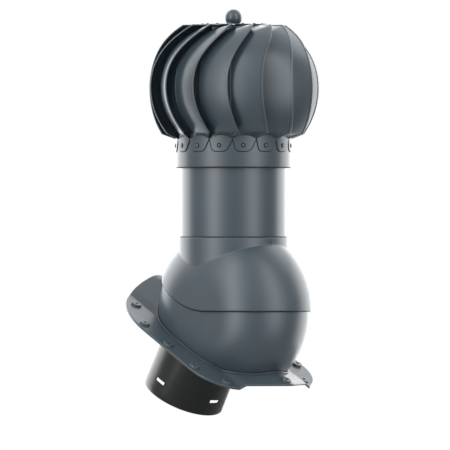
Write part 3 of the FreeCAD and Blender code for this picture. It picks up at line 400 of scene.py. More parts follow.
@dataclass(frozen=True)
class Finish:
    """One finish and the material it makes.

    The colour and roughness drift with slow noise, the grain gives the bump, and dust lies in fine specks.
    Scales of noise are per metre, and the grain's depth is in millimetres.
    """

    name: str
    colour: Triple
    roughness: float
    grain: Grain
    metallic: float = 0.0
    specular: float = 0.5
    grain_depth: float = 0.02
    drift: float = 0.12
    dust: float = 0.03
    dust_colour: Triple = (0.45, 0.44, 0.42)
    cloud_scale: float = 14.0
    patch_scale: float = 90.0
    speck_scale: float = 2600.0
    speck_spread: float = 60.0

    def grain_height(self, recipe: Recipe, place: bpy.types.NodeSocket) -> Number:
        """Work out the height of the grain: noise, drawn out along or round the Z axis where it is directed.

        Args:
            recipe: Nodes of the material.
            place: Object coordinates.

        Returns:
            Height between 0 and about 1.
        """
        if self.grain is Grain.PAINT:
            return recipe.noise(place, 420, 2.0) * 0.8 + recipe.noise(place, 1500, 1.0) * 0.2
        if self.grain is Grain.MOULDED:
            return recipe.noise(place, 1400, 3.0, 0.65)
        stretch = (1, 1, 0.04) if self.grain is Grain.EXTRUDED else (0.05, 0.05, 1)
        drawn = recipe.node("ShaderNodeMapping", {"vector_type": "POINT"},
                            {"Vector": place, "Scale": stretch})
        return recipe.noise(drawn.outputs[0], 900, 2.0)

    def material(self) -> bpy.types.Material:
        """Make the material of this finish.

        Returns:
            The material.
        """
        recipe = Recipe(bpy.data.materials.new(self.name))
        place = recipe.node("ShaderNodeTexCoord").outputs["Object"]
        slow = recipe.noise(place, self.cloud_scale, 3.0)
        patch = recipe.noise(place, self.patch_scale, 4.0, 0.6)
        fine = recipe.noise(place, self.speck_scale, 2.0, 0.7).eased(0.66, 0.8)
        speck = fine * recipe.noise(place, self.speck_spread, 2.0).eased(0.45, 0.7)
        tone = slow * 0.6 + patch * 0.4
        dark = tuple(part * (1 - self.drift) for part in self.colour) + (1,)
        light = tuple(part * (1 + self.drift) for part in self.colour) + (1,)
        base = recipe.mixed(tone, dark, light)
        base = recipe.mixed(speck * self.dust, base, (*self.dust_colour, 1))
        rough = (patch - 0.5) * (self.drift * 0.5) + self.roughness + speck * 0.2
        bump = recipe.node("ShaderNodeBump", None, {"Strength": 1.0, "Distance": self.grain_depth * MM,
                                                    "Height": self.grain_height(recipe, place)})
        shader = recipe.node("ShaderNodeBsdfPrincipled", None, {
            "Base Color": base, "Roughness": rough, "Metallic": self.metallic,
            "Specular IOR Level": self.specular, "Normal": bump.outputs[0]})
        recipe.node("ShaderNodeOutputMaterial", None, {"Surface": shader.outputs[0]})
        return recipe.owner


DOME_PLASTIC = Finish("graphite_moulded", (0.043, 0.062, 0.077), 0.34, Grain.MOULDED, specular=0.75)
TURBINE_PAINT = Finish("graphite_satin_paint", (0.043, 0.062, 0.077), 0.29, Grain.PAINT, specular=0.75)
PIPE_PAINT = Finish("graphite_pipe_paint", (0.043, 0.062, 0.077), 0.29, Grain.PAINT, specular=0.75,
                    drift=0.08)
# Painted shade: near-black material for thin rings and outlines laid where only shade falls, in seams, gaps
# and round rivets.
PAINTED_SHADE_RUBBER = Finish("black_painted_shade", (0.006, 0.0065, 0.007), 0.6, Grain.MOULDED, specular=0.2)
DUCT_PLASTIC = Finish("black_duct_plastic", (0.012, 0.013, 0.014), 0.26, Grain.EXTRUDED, drift=0.2)
RIVET_METAL = Finish("painted_rivet", (0.075, 0.092, 0.105), 0.28, Grain.PAINT, metallic=0.2)
ZINC_STEEL = Finish("zinc_steel", (0.55, 0.56, 0.57), 0.34, Grain.TURNED, metallic=1.0)
MACHINED_STEEL = Finish("machined_steel", (0.50, 0.51, 0.53), 0.28, Grain.TURNED, metallic=1.0)
BEARING_STEEL = Finish("bearing_steel", (0.62, 0.63, 0.65), 0.14, Grain.TURNED, metallic=1.0,
                       grain_depth=0.004)


# Roof plate

@dataclass
class FlashingPlate:
    """Oval moulded plate with its ridge, bosses, duct collar and the lip round the dome's foot.

    Lengths are in millimetres: across the plate, along it up the slope, and off its underside, from the
    point where the stack's axis meets that underside.
    """

    half_width: float = 122.0
    back_reach: float = 205.0
    shoulder_front: float = 33.0
    corner_radius: float = 61.0
    front_reach: float = 126.2
    thickness: float = 3.5
    ridge_height: float = 24.0
    ridge_step: float = 6.4
    foot_front: float = 68.0
    foot_back: float = 64.0
    right_spread: float = 16.0
    point_length: float = 7.0
    step_width: float = 11.5
    flank_width: float = 45.0
    margin_width: float = 52.0
    crest_half: float = 15.0
    softness: float = 1.1
    rim_round: float = 1.0
    rim_under: float = 0.6
    rows: int = 141
    lip_gap: float = 0.9
    lip_wall: float = 2.4
    lip_rise: float = 3.0
    lip_round: float = 1.15
    lip_sink: float = 0.8
    shell_round: float = 81.5
    duct_along: float = 65.0
    collar_inner: float = 64.3
    collar_outer: float = 67.3
    collar_rise: float = 30.0
    collar_edge: float = 0.5
    boss_radius: float = 7.8
    boss_rise: float = 3.2
    boss_edge: float = 1.0
    boss_foot: float = 0.9
    hole_radius: float = 2.2
    hole_depth: float = 3.0
    ridge_bosses: tuple[float, ...] = (-114.0, 187.0)
    side_bosses: tuple[tuple[float, float], ...] = (
        (83.0, -76.0), (110.0, -29.0), (110.5, 36.0), (107.5, 98.5), (77.5, 155.0))

    def foot(self, along: np.ndarray, right: np.ndarray | bool) -> np.ndarray:
        """Find the ridge's foot: a straight line from front to back, farther out at the front right.

        Args:
            along: Places along the slope.
            right: True on the right half of the plate.

        Returns:
            Distance of the foot from the middle.
        """
        share = (along + self.front_reach) / (self.back_reach + self.front_reach)
        front = self.foot_front + self.right_spread * right
        return front + (self.foot_back - front) * share

    def sharp_height(self, across: np.ndarray, along: np.ndarray) -> np.ndarray:
        """Height of the ridge with crisp creases: a step, a straight flank and a parabola as crest.

        The flank falls by rise for each millimetre, and the crest is at top - rise side^2 / (2 crest_half).

        Args:
            across: Places across the plate.
            along: Places along the slope.

        Returns:
            Height of the underside over the plate's flat margin.
        """
        side = np.abs(across)
        foot = self.foot(along, across > 0)
        step_top = foot - self.step_width
        rise = (self.ridge_height - self.ridge_step) / (step_top - self.crest_half / 2)
        step = (foot - side) / self.step_width * self.ridge_step
        flank = self.ridge_step + (step_top - side) * rise
        crest = self.ridge_height - rise * side ** 2 / (2 * self.crest_half)
        height = np.where(side < self.crest_half, crest, np.where(side < step_top, flank, step))
        return np.maximum(height, 0)

    def height(self, across: np.ndarray, along: np.ndarray) -> np.ndarray:
        """Soften the ridge's creases: (h(x - s) + 2 h(x) + h(x + s)) / 4 with the crisp height h.

        Args:
            across: Places across the plate.
            along: Places along the slope.

        Returns:
            Height of the underside.
        """
        shift = self.softness
        return (self.sharp_height(across - shift, along) + 2 * self.sharp_height(across, along)
                + self.sharp_height(across + shift, along)) / 4

    def lines(self) -> tuple[np.ndarray, np.ndarray]:
        """Share out the lines of the grid over half the plate, with some close to each crease.

        Returns:
            The part of each line (0 crest, 1 flank, 2 step, 3 margin) and its share across that part.
        """
        on_flank, on_step, on_margin = [
            self.softness / width for width in (self.flank_width, self.step_width, self.margin_width)]
        crest = np.linspace(0, 1, 9)
        flank = np.concatenate([[on_flank], np.linspace(0.1, 0.9, 9), [1 - on_flank, 1]])
        step = np.concatenate([[on_step], np.linspace(0.3, 0.7, 3), [1 - on_step, 1]])
        margin = np.concatenate([[on_margin], np.sin(np.linspace(0.1, 1, 26) * math.pi / 2)])
        parts = [crest, flank, step, margin]
        return np.repeat(np.arange(4), [len(part) for part in parts]), np.concatenate(parts)

    def across_at(self, part: np.ndarray, share: np.ndarray, along: np.ndarray, inset: float,
                  right: bool) -> np.ndarray:
        """Place the grid's lines across the plate: start + width * share in each part.

        Args:
            part: Part of each line.
            share: Share of each line across its part.
            along: Places along the slope.
            inset: How far the grid ends inside the plate's edge.
            right: True on the right half.

        Returns:
            Distance from the middle.
        """
        foot = self.foot(along, right)
        step_top = foot - self.step_width
        return np.choose(part, [
            self.crest_half * share,
            self.crest_half + (step_top - self.crest_half) * share,
            step_top + self.step_width * share,
            foot + (self.half_width - inset - foot) * share])

    def front_edge(self, across: np.ndarray, inset: float, right: bool) -> np.ndarray:
        """Find the front edge: a round corner, straight over the step, and level over the ridge.

        Over the ridge it lies at level - (height - step) / tan(pitch). On the right the corner starts
        with a small point, because the foot lies farther out there.

        Args:
            across: Distances from the middle.
            inset: How far inside the plate's edge.
            right: True on the right half.

        Returns:
            Place of the edge along the slope.
        """
        radius = self.corner_radius - inset
        centre = self.half_width - self.corner_radius
        round_off = np.sqrt(np.maximum(radius ** 2 - np.maximum(across - centre, 0) ** 2, 0))
        corner = -self.shoulder_front - round_off
        lowest = np.array(-self.shoulder_front - self.corner_radius)
        level = -self.shoulder_front - math.sqrt(radius ** 2 - (self.foot(lowest, False) - centre) ** 2)
        foot = self.foot(lowest, right)
        gap = -self.shoulder_front - math.sqrt(radius ** 2 - (foot - centre) ** 2) - level
        height = self.height(across * (1 if right else -1), np.full_like(across, level))
        pointed = level - np.maximum(height - self.ridge_step, 0) / math.tan(ROOF_PITCH)
        beyond = corner - gap * np.maximum(1 - (across - foot) / self.point_length, 0)
        return np.where(across > foot, beyond, np.minimum(pointed, level))

    def back_edge(self, across: np.ndarray, inset: float) -> np.ndarray:
        """Back edge: a half circle."""
        centre = self.back_reach - self.half_width
        return centre + np.sqrt(np.maximum((self.half_width - inset) ** 2 - across ** 2, 0))

    def half_plan(self, inset: float, right: bool) -> tuple[np.ndarray, np.ndarray]:
        """Lay a grid over half the plate, its lines along the creases.

        A line's ends and its distance from the middle depend on each other, so both are found in six rounds.

        Args:
            inset: How far the grid ends inside the plate's edge.
            right: True for the right half.

        Returns:
            Distance from the middle and place along the slope of each point.
        """
        part, share = self.lines()
        front = np.full(len(share), -110.0)
        back = np.full(len(share), 180.0)
        for _ in range(6):
            front = self.front_edge(self.across_at(part, share, front, inset, right), inset, right)
            back = self.back_edge(self.across_at(part, share, back, inset, right), inset)
        along = front + (back - front) * np.linspace(0, 1, self.rows)[:, None]
        part, share = np.broadcast_to(part, along.shape), np.broadcast_to(share, along.shape)
        return self.across_at(part, share, along, inset, right), along

    def sheet(self) -> tuple[np.ndarray, np.ndarray, np.ndarray]:
        """Make the sheet, with the points just inside the duct's hole pushed out to its rim.

        Returns:
            Top of the sheet, its underside and True for each cell outside the hole.
        """
        left_across, left_along = self.half_plan(self.rim_round, False)
        across, along = self.half_plan(self.rim_round, True)
        across = np.hstack([-left_across[:, :0:-1], across])
        along = np.hstack([left_along[:, :0:-1], along])
        off_centre = np.hypot(across, along - self.duct_along)
        hole = (self.collar_inner + self.collar_outer) / 2
        outside = off_centre >= hole
        keep = outside[:-1, :-1] | outside[1:, :-1] | outside[:-1, 1:] | outside[1:, 1:]
        push = np.where(outside, 1, hole / np.maximum(off_centre, 1))
        push = np.where(off_centre < hole * 0.9, 1, push)
        across, along = across * push, self.duct_along + (along - self.duct_along) * push
        under = np.stack([across, along, self.height(across, along)], axis=-1)
        return under + np.array([0, 0, self.thickness]), under, keep

    def rim(self, top: np.ndarray) -> np.ndarray:
        """Round the rim of the sheet: edge + out * sin(turn) * radius + down * (1 - cos(turn)) * radius.

        Args:
            top: Top of the sheet.

        Returns:
            Rows from the top's edge, over the rounded rim and down to the underside.
        """
        edge = np.concatenate([top[0], top[1:, -1], top[-1, -2::-1], top[-2:0:-1, 0]])
        ahead = np.roll(edge, -1, axis=0) - np.roll(edge, 1, axis=0)
        out = np.stack([ahead[:, 1], -ahead[:, 0], np.zeros(len(edge))], axis=-1)
        out /= np.maximum(np.linalg.norm(out, axis=-1, keepdims=True), 1e-9)
        down = np.array([0, 0, -1.0])
        under = self.rim_under
        rows = []
        for turn in np.linspace(0, 1, 5) * math.pi / 2:
            rows.append(edge + (out * math.sin(turn) + down * (1 - math.cos(turn))) * self.rim_round)
        for turn in np.linspace(0, 1, 4) * math.pi / 2:
            reach = self.rim_round - under + under * math.cos(turn)
            rows.append(edge + out * reach + down * (self.thickness - under + under * math.sin(turn)))
        rows.append(edge + down * self.thickness)
        return np.array(rows)

    def foot_ring(self, round_radius: float, lift: float, angles: np.ndarray) -> np.ndarray:
        """Find where a dome of one round section meets the plate's top.

        Args:
            round_radius: Radius of the dome's round section.
            lift: How far the plate's top is lifted.
            angles: Directions from the foot of the tilt axis, in radians.

        Returns:
            One point for each direction, in the plate's directions.
        """
        pivot = np.array([0, TILT_AXIS_RISE * math.sin(ROOF_PITCH), TILT_AXIS_RISE * math.cos(ROOF_PITCH)])

        def plan(distance: np.ndarray) -> np.ndarray:
            """Points over the plate at a distance from the pivot's foot."""
            across, along = distance * np.cos(angles), pivot[1] + distance * np.sin(angles)
            return np.stack([across, along, self.height(across, along) + self.thickness + lift], axis=-1)

        def beyond(distance: np.ndarray) -> np.ndarray:
            """Measure how far outside the dome the points are: hypot(across, way past the ring) - radius.

            Args:
                distance: Distances from the pivot's foot.

            Returns:
                Millimetres, above zero outside.
            """
            across, along, off = np.moveaxis(plan(distance) - pivot, -1, 0)
            past = np.maximum(np.hypot(along, off) - Dome.ring_radius, 0)
            return np.hypot(across, past) - round_radius

        return plan(halved(np.full_like(angles, 40.0), np.full_like(angles, 130.0), beyond))

    def lip(self) -> np.ndarray:
        """Make the lip round the foot of the lower shell, rounded on top.

        Returns:
            A closed loop of rings.
        """
        angles = turn_of(300)
        radii = (self.shell_round + self.lip_gap, self.shell_round + self.lip_gap + self.lip_wall)
        lifts = (-self.lip_sink, self.lip_rise)
        inner_low, inner_high, outer_low, outer_high = [
            self.foot_ring(radius, lift, angles) for radius in radii for lift in lifts]
        rows = [inner_low, *bend(inner_low, inner_high, outer_high, self.lip_round, 4),
                *bend(inner_high, outer_high, outer_low, self.lip_round, 4), outer_low]
        return np.array(rows)

    def boss(self, across: float, along: float, base: float) -> np.ndarray:
        """Make a raised round boss with its screw hole and a soft foot: a closed profile turned round.

        Args:
            across: Place across the plate.
            along: Place along the slope.
            base: Height of the underside there.

        Returns:
            Rings of the boss.
        """
        flat = self.thickness
        top, low = flat + self.boss_rise, flat - self.hole_depth
        profile = rounded([
            (self.hole_radius, top - self.hole_depth, 0), (self.hole_radius, top, 0.4),
            (self.boss_radius, top, self.boss_edge), (self.boss_radius, flat, 0.5),
            (self.boss_radius + self.boss_foot, flat - 0.1, 0), (self.boss_radius, low, 0),
            (self.hole_radius, low, 0)])
        return revolved(profile, turn_of(40)) + np.array([across, along, base])

    def build(self) -> bpy.types.Object:
        """Make the plate: sheet, rim, lip, duct collar and bosses.

        Returns:
            The plate.
        """
        skin = Skin()
        top, under, keep = self.sheet()
        skin.grid(on_slope(top), keep=keep)
        skin.grid(on_slope(under), keep=keep)
        skin.grid(on_slope(self.rim(top)), around=True)
        skin.grid(on_slope(self.lip()), around=True, closed=True)
        collar = tube(self.collar_inner, self.collar_outer, 0, self.collar_rise, self.collar_edge)
        at = np.array([0, self.duct_along, 0])
        skin.grid(on_slope(revolved(collar, turn_of(160)) + at), around=True, closed=True)
        places = [(0.0, along, self.ridge_height) for along in self.ridge_bosses]
        places += [(side * across, along, 0.0) for across, along in self.side_bosses for side in (-1, 1)]
        for across, along, base in places:
            skin.grid(on_slope(self.boss(across, along, base)), around=True, closed=True)
        return skin.piece("flashing_plate_skin")


# Dome

@dataclass
class Dome:
    """The two halves of the dome: a wheel with a round tread about the tilt axis, and the neck on top.

    Seen from the axis in the direction d with q = hypot(dy, dz), the skin is at t = round / |dx| where the
    wheel's side is flat, and at t = q ring + sqrt(q^2 ring^2 + round^2 - ring^2) where it is round.
    Heights are over that axis. The spans, near, rim_near and trim are elevations in radians.
    """

    ring_radius: float = 46.0
    hood_round: float = 86.0
    hood_wall: float = 4.0
    shell_round: float = 81.5
    shell_wall: float = 3.5
    glue: float = 0.1
    notch_rise: float = 16.0
    front_slope: float = math.radians(14)
    back_slope: float = math.radians(43.3)
    rim_rise: float = 2.4
    rim_turn: float = 12.2
    rim_bend: float = 125.0
    rim_round: float = 1.8
    rim_near: float = 0.03
    neck_height: float = 114.0
    neck_radius: float = 82.3
    neck_draft: float = 0.3
    neck_round: float = 2.0
    crease: float = 1.2
    seat_rise: float = 105.0
    seat_inner: float = 77.0
    socket_radius: float = 80.2
    rib_angle: float = -90.0
    rib_half: float = 1.5
    rib_rise: float = 1.3
    rib_low: float = 9.6
    rib_high: float = 3.0
    ear_inner: float = 73.0
    ear_outer: float = 77.5
    ear_half: float = 10.0
    ear_low: float = 10.0
    ear_high: float = 64.0
    ear_bore: float = 7.05
    ear_ring: float = 13.0
    bridge_low: float = 46.0
    bridge_outer: float = 82.5
    stub_radius: float = 7.0
    stub_inner: float = 66.0
    stub_outer: float = 79.7
    # Painted shade: dark rings standing in for the shade in the seam under the hood's rim and in the gap
    # round the pipe on top of the neck.
    shade_line_drop: float = 1.2
    shade_line_inset: float = 1.3
    shade_line_depth: float = 0.2
    shade_bead_inner: float = 79.95
    shade_bead_foot: float = 81.6
    shade_bead_top: float = 81.4
    shade_bead_sink: float = 0.6
    shade_bead_rise: float = 1.1
    near: float = 0.02
    trim: float = 0.012
    rim_span: tuple[float, float] = (-0.8, 0.9)
    neck_span: tuple[float, float] = (0.3, 1.5)
    foot_span: tuple[float, float] = (-1.3, 0.8)
    notch_span: tuple[float, float] = (-0.8, 1.2)
    columns: int = 320
    plate: FlashingPlate = field(default_factory=FlashingPlate)

    def skin_at(self, angles: np.ndarray, elevation: np.ndarray, round_radius: float) -> np.ndarray:
        """Find points of a dome skin seen from the tilt axis, by the formula of the class.

        Args:
            angles: Compass directions in radians.
            elevation: Elevations in radians.
            round_radius: Radius of the round section.

        Returns:
            Points about the tilt axis.
        """
        cos = np.cos(elevation)
        way = np.stack([cos * np.cos(angles), cos * np.sin(angles), np.sin(elevation)], axis=-1)
        across = np.maximum(np.abs(way[..., 0]), 1e-9)
        wheel = np.hypot(way[..., 1], way[..., 2])
        ring = self.ring_radius
        curved = wheel * ring + np.sqrt(np.maximum(wheel ** 2 * ring ** 2 + round_radius ** 2 - ring ** 2, 0))
        distance = np.where(across * ring >= round_radius * wheel, round_radius / across, curved)
        return way * distance[..., None]

    def elevation_where(self, angles: np.ndarray, round_radius: float, span: tuple[float, float],
                        over: Measure) -> np.ndarray:
        """Find the elevation at which a measure of the skin's points crosses zero.

        Args:
            angles: Compass directions in radians.
            round_radius: Radius of the round section.
            span: Elevations between which it crosses.
            over: The measure, above zero at the upper end.

        Returns:
            One elevation for each direction.
        """
        def miss(elevation: np.ndarray) -> np.ndarray:
            """Measure at an elevation."""
            return over(self.skin_at(angles, elevation, round_radius))

        return halved(np.full_like(angles, span[0]), np.full_like(angles, span[1]), miss)

    def band(self, angles: np.ndarray, start: np.ndarray, stop: np.ndarray, round_radius: float,
             count: int) -> Rows:
        """Make rows of skin from one elevation to another, closer together at both ends.

        Args:
            angles: Compass directions in radians.
            start: First elevations.
            stop: Last elevations.
            round_radius: Radius of the round section.
            count: Number of rows.

        Returns:
            The rows.
        """
        shares = (1 - np.cos(np.linspace(0, math.pi, count))) / 2
        shares = shares * 0.35 + np.linspace(0, 1, count) * 0.65
        return [self.skin_at(angles, start + (stop - start) * share, round_radius) for share in shares]

    def over_rim(self, points: np.ndarray) -> np.ndarray:
        """Measure the height above the hood's rim, which is level in front, then an arc, then at the pitch.

        Args:
            points: Points about the tilt axis.

        Returns:
            Height above the rim.
        """
        along = points[..., 1]
        start = self.rim_turn - self.rim_bend * math.tan(ROOF_PITCH / 2)
        stop = start + self.rim_bend * math.sin(ROOF_PITCH)
        arc = self.rim_bend - np.sqrt(np.maximum(self.rim_bend ** 2 - (along - start) ** 2, 0))
        line = (along - self.rim_turn) * math.tan(ROOF_PITCH)
        rim = self.rim_rise + np.where(along < start, 0, np.where(along < stop, arc, line))
        return points[..., 2] - rim

    def over_notch(self, points: np.ndarray) -> np.ndarray:
        """Height above the lower shell's opening, which is a wide V."""
        slope = np.where(points[..., 1] < 0, math.tan(self.front_slope), math.tan(self.back_slope))
        return points[..., 2] - (self.notch_rise + np.abs(points[..., 1]) * slope)

    def over_seat(self, points: np.ndarray) -> np.ndarray:
        """Above zero inside the passage under the pipe's seat."""
        return self.seat_inner - np.hypot(points[..., 0], points[..., 1])

    def neck_radius_at(self, height: np.ndarray | float) -> np.ndarray | float:
        """Outside radius of the neck, a little wider further down."""
        span = self.neck_height - self.ring_radius
        return self.neck_radius + self.neck_draft * (self.neck_height - height) / span

    def over_neck(self, points: np.ndarray) -> np.ndarray:
        """Above zero where a point of the skin is inside the neck."""
        return self.neck_radius_at(points[..., 2]) - np.hypot(points[..., 0], points[..., 1])

    def over_plate(self, points: np.ndarray) -> np.ndarray:
        """Measure how far points are above the plate's top and its bed of glue.

        Args:
            points: Points about the tilt axis.

        Returns:
            Distance off the plate.
        """
        world = points + AXIS_LIFT
        cos, sin = math.cos(ROOF_PITCH), math.sin(ROOF_PITCH)
        along = world[..., 1] * cos + world[..., 2] * sin
        off = world[..., 2] * cos - world[..., 1] * sin
        return off - self.plate.height(world[..., 0], along) - self.plate.thickness - self.glue

    def hood_loop(self, angles: np.ndarray) -> np.ndarray:
        """Make the hood's skin: from its socket over the neck, down the dome, round the rim and back inside.

        Args:
            angles: Compass directions in radians.

        Returns:
            A closed loop of rings about the tilt axis.
        """
        outer, inner = self.hood_round, self.hood_round - self.hood_wall
        crease = self.elevation_where(angles, outer, self.neck_span, self.over_neck)
        outer_rim = self.elevation_where(angles, outer, self.rim_span, self.over_rim)
        inner_rim = self.elevation_where(angles, inner, self.rim_span, self.over_rim)
        passage = self.elevation_where(angles, inner, self.neck_span, self.over_seat)

        def level(radius: float, height: float) -> np.ndarray:
            """Level ring."""
            return revolved(np.array([[radius, height]]), angles)[0]

        def neck(height: float) -> np.ndarray:
            """Ring on the outside of the neck."""
            return level(self.neck_radius_at(height), height)

        top, corner = self.neck_height, self.skin_at(angles, crease, outer)
        below, above = self.skin_at(angles, crease - self.near, outer), neck(top - 6)
        fillet = bend(above, corner, below, self.crease, 5)
        start = crease - self.crease / np.linalg.norm(corner - below, axis=-1) * self.near
        wall = [fillet[0] + (neck(top - self.neck_round) - fillet[0]) * share
                for share in np.linspace(1, 0, 7)[1:-1]]
        outer_edge = self.skin_at(angles, outer_rim, outer)
        inner_edge = self.skin_at(angles, inner_rim, inner)
        outer_near = self.skin_at(angles, outer_rim + self.rim_near, outer)
        inner_near = self.skin_at(angles, inner_rim + self.near, inner)
        socket, top_in = level(self.socket_radius, self.seat_rise), level(self.socket_radius, top)
        rows = [socket, *bend(socket, top_in, neck(top), 0.5, 2),
                *bend(top_in, neck(top), above, self.neck_round, 6), *wall, *fillet,
                *self.band(angles, start, outer_rim + self.rim_near, outer, 60)[1:],
                *bend(outer_near, outer_edge, inner_edge, self.rim_round, 5),
                *bend(outer_edge, inner_edge, inner_near, 0.7, 3),
                *self.band(angles, inner_rim + self.trim, passage, inner, 24),
                level(self.seat_inner, self.seat_rise)]
        return np.array(rows)

    def box(self, low: Triple, high: Triple, radius: float) -> np.ndarray:
        """Make a small block with rounded edges: an outline between ends that are drawn in.

        Args:
            low: Lowest corner.
            high: Highest corner.
            radius: Rounding of the edges.

        Returns:
            Outlines from the bottom to the top.
        """
        (x0, y0, z0), (x1, y1, z1) = low, high
        outline = rounded([(x0, y0, radius), (x1, y0, radius), (x1, y1, radius), (x0, y1, radius)])
        middle = np.array([(x0 + x1) / 2, (y0 + y1) / 2])
        rows = []
        ends = ((0.0, z0), (0.8, z0), (1.0, z0 + radius), (1.0, z1 - radius), (0.8, z1), (0.0, z1))
        for share, height in ends:
            flat = middle + (outline - middle) * share
            rows.append(np.column_stack([flat, np.full(len(flat), height)]))
        return np.array(rows)

    def build_hood(self) -> bpy.types.Object:
        """Make the hood with its mark rib and the two ears that hang inside.

        Returns:
            The hood.
        """
        skin = Skin()
        skin.grid(self.hood_loop(turn_of(self.columns)) + AXIS_LIFT, around=True, closed=True)
        out = compass(math.radians(self.rib_angle))
        foot, top = self.neck_radius - 1, self.neck_radius + self.rib_rise
        rib = self.box((-self.rib_half, foot, self.neck_height - self.rib_low),
                       (self.rib_half, top, self.neck_height - self.rib_high), 0.5)
        side = np.array([-out[1], out[0], 0])
        skin.grid(placed(rib[..., [0, 2, 1]], side, UP, out, AXIS_LIFT), around=True)
        half, inner, outer = self.ear_half, self.ear_inner, self.ear_outer
        ring = revolved(tube(self.ear_bore, self.ear_ring, inner, outer, 0.3), turn_of(48))[..., [2, 0, 1]]
        for hand in (-1, 1):
            mirror = np.array([hand, 1, 1])
            bar = self.box((inner, -half, self.ear_low), (outer, half, self.ear_high), 0.4)
            bridge = self.box((inner, -half, self.bridge_low), (self.bridge_outer, half, self.ear_high), 0.4)
            skin.grid(bar * mirror + AXIS_LIFT, around=True)
            skin.grid(bridge * mirror + AXIS_LIFT, around=True)
            skin.grid(ring * mirror + AXIS_LIFT, around=True, closed=True)
        return skin.piece("hood_skin")

    def build_painted_shade_rings(self) -> bpy.types.Object:
        """Make painted shade as black rings: a dark line under the hood's rim for the shade in the seam, and
        a dark ring round the pipe on top of the neck for the shade in its gap.

        Returns:
            The painted shade rings.
        """
        angles = turn_of(self.columns)
        outer = self.hood_round
        rim = self.elevation_where(angles, outer, self.rim_span, self.over_rim)
        drop = self.shade_line_drop / np.linalg.norm(self.skin_at(angles, rim, outer), axis=-1)
        radii = (outer - self.shade_line_inset, outer - self.hood_wall + self.shade_line_depth)
        low_out, low_in, high_out, high_in = [
            self.skin_at(angles, rim + side * drop, radius) for side in (-1, 1) for radius in radii]
        rows = [high_out, *bend(high_out, low_out, low_in, 0.4, 2),
                *bend(low_out, low_in, high_in, 0.3, 2), high_in]
        skin = Skin()
        skin.grid(np.array(rows) + AXIS_LIFT, around=True, closed=True)
        low, high = self.neck_height - self.shade_bead_sink, self.neck_height + self.shade_bead_rise
        shade_bead = rounded([(self.shade_bead_inner, low, 0), (self.shade_bead_foot, low, 0), (self.shade_bead_top, high, 0.4),
                        (self.shade_bead_inner, high, 0)])
        skin.grid(revolved(shade_bead, turn_of(220)) + AXIS_LIFT, around=True, closed=True)
        return skin.piece("dome_painted_shade_rings")

    def build_lower_shell(self) -> bpy.types.Object:
        """Make the lower shell: outside, rim, inside and foot on the plate, and the two stubs.

        Returns:
            The lower shell.
        """
        angles = turn_of(self.columns)
        outer, inner = self.shell_round, self.shell_round - self.shell_wall
        edges = []
        for radius in (outer, inner):
            foot = self.elevation_where(angles, radius, self.foot_span, self.over_plate)
            rim = self.elevation_where(angles, radius, self.notch_span, self.over_notch)
            edges.append((foot, np.maximum(rim, foot + self.near)))
        (outer_foot, outer_rim), (inner_foot, inner_rim) = edges
        outer_edge = self.skin_at(angles, outer_rim, outer)
        inner_edge = self.skin_at(angles, inner_rim, inner)
        rows = [*self.band(angles, outer_foot, outer_rim - self.trim, outer, 40),
                *bend(self.skin_at(angles, outer_rim - self.near, outer), outer_edge, inner_edge, 0.6, 3),
                *bend(outer_edge, inner_edge, self.skin_at(angles, inner_rim - self.near, inner), 0.6, 3),
                *self.band(angles, inner_rim - self.trim, inner_foot, inner, 20)]
        skin = Skin()
        skin.grid(np.array(rows) + AXIS_LIFT, around=True, closed=True)
        stub = rounded([(0, self.stub_inner, 0), (self.stub_radius, self.stub_inner, 0.8),
                        (self.stub_radius, self.stub_outer, 0), (0, self.stub_outer, 0)])
        for hand in (-1, 1):
            turned = revolved(stub, turn_of(40))[..., [2, 0, 1]]
            skin.grid(turned * np.array([hand, 1, 1]) + AXIS_LIFT, around=True)
        return skin.piece("lower_shell_skin")


# Duct and pipe

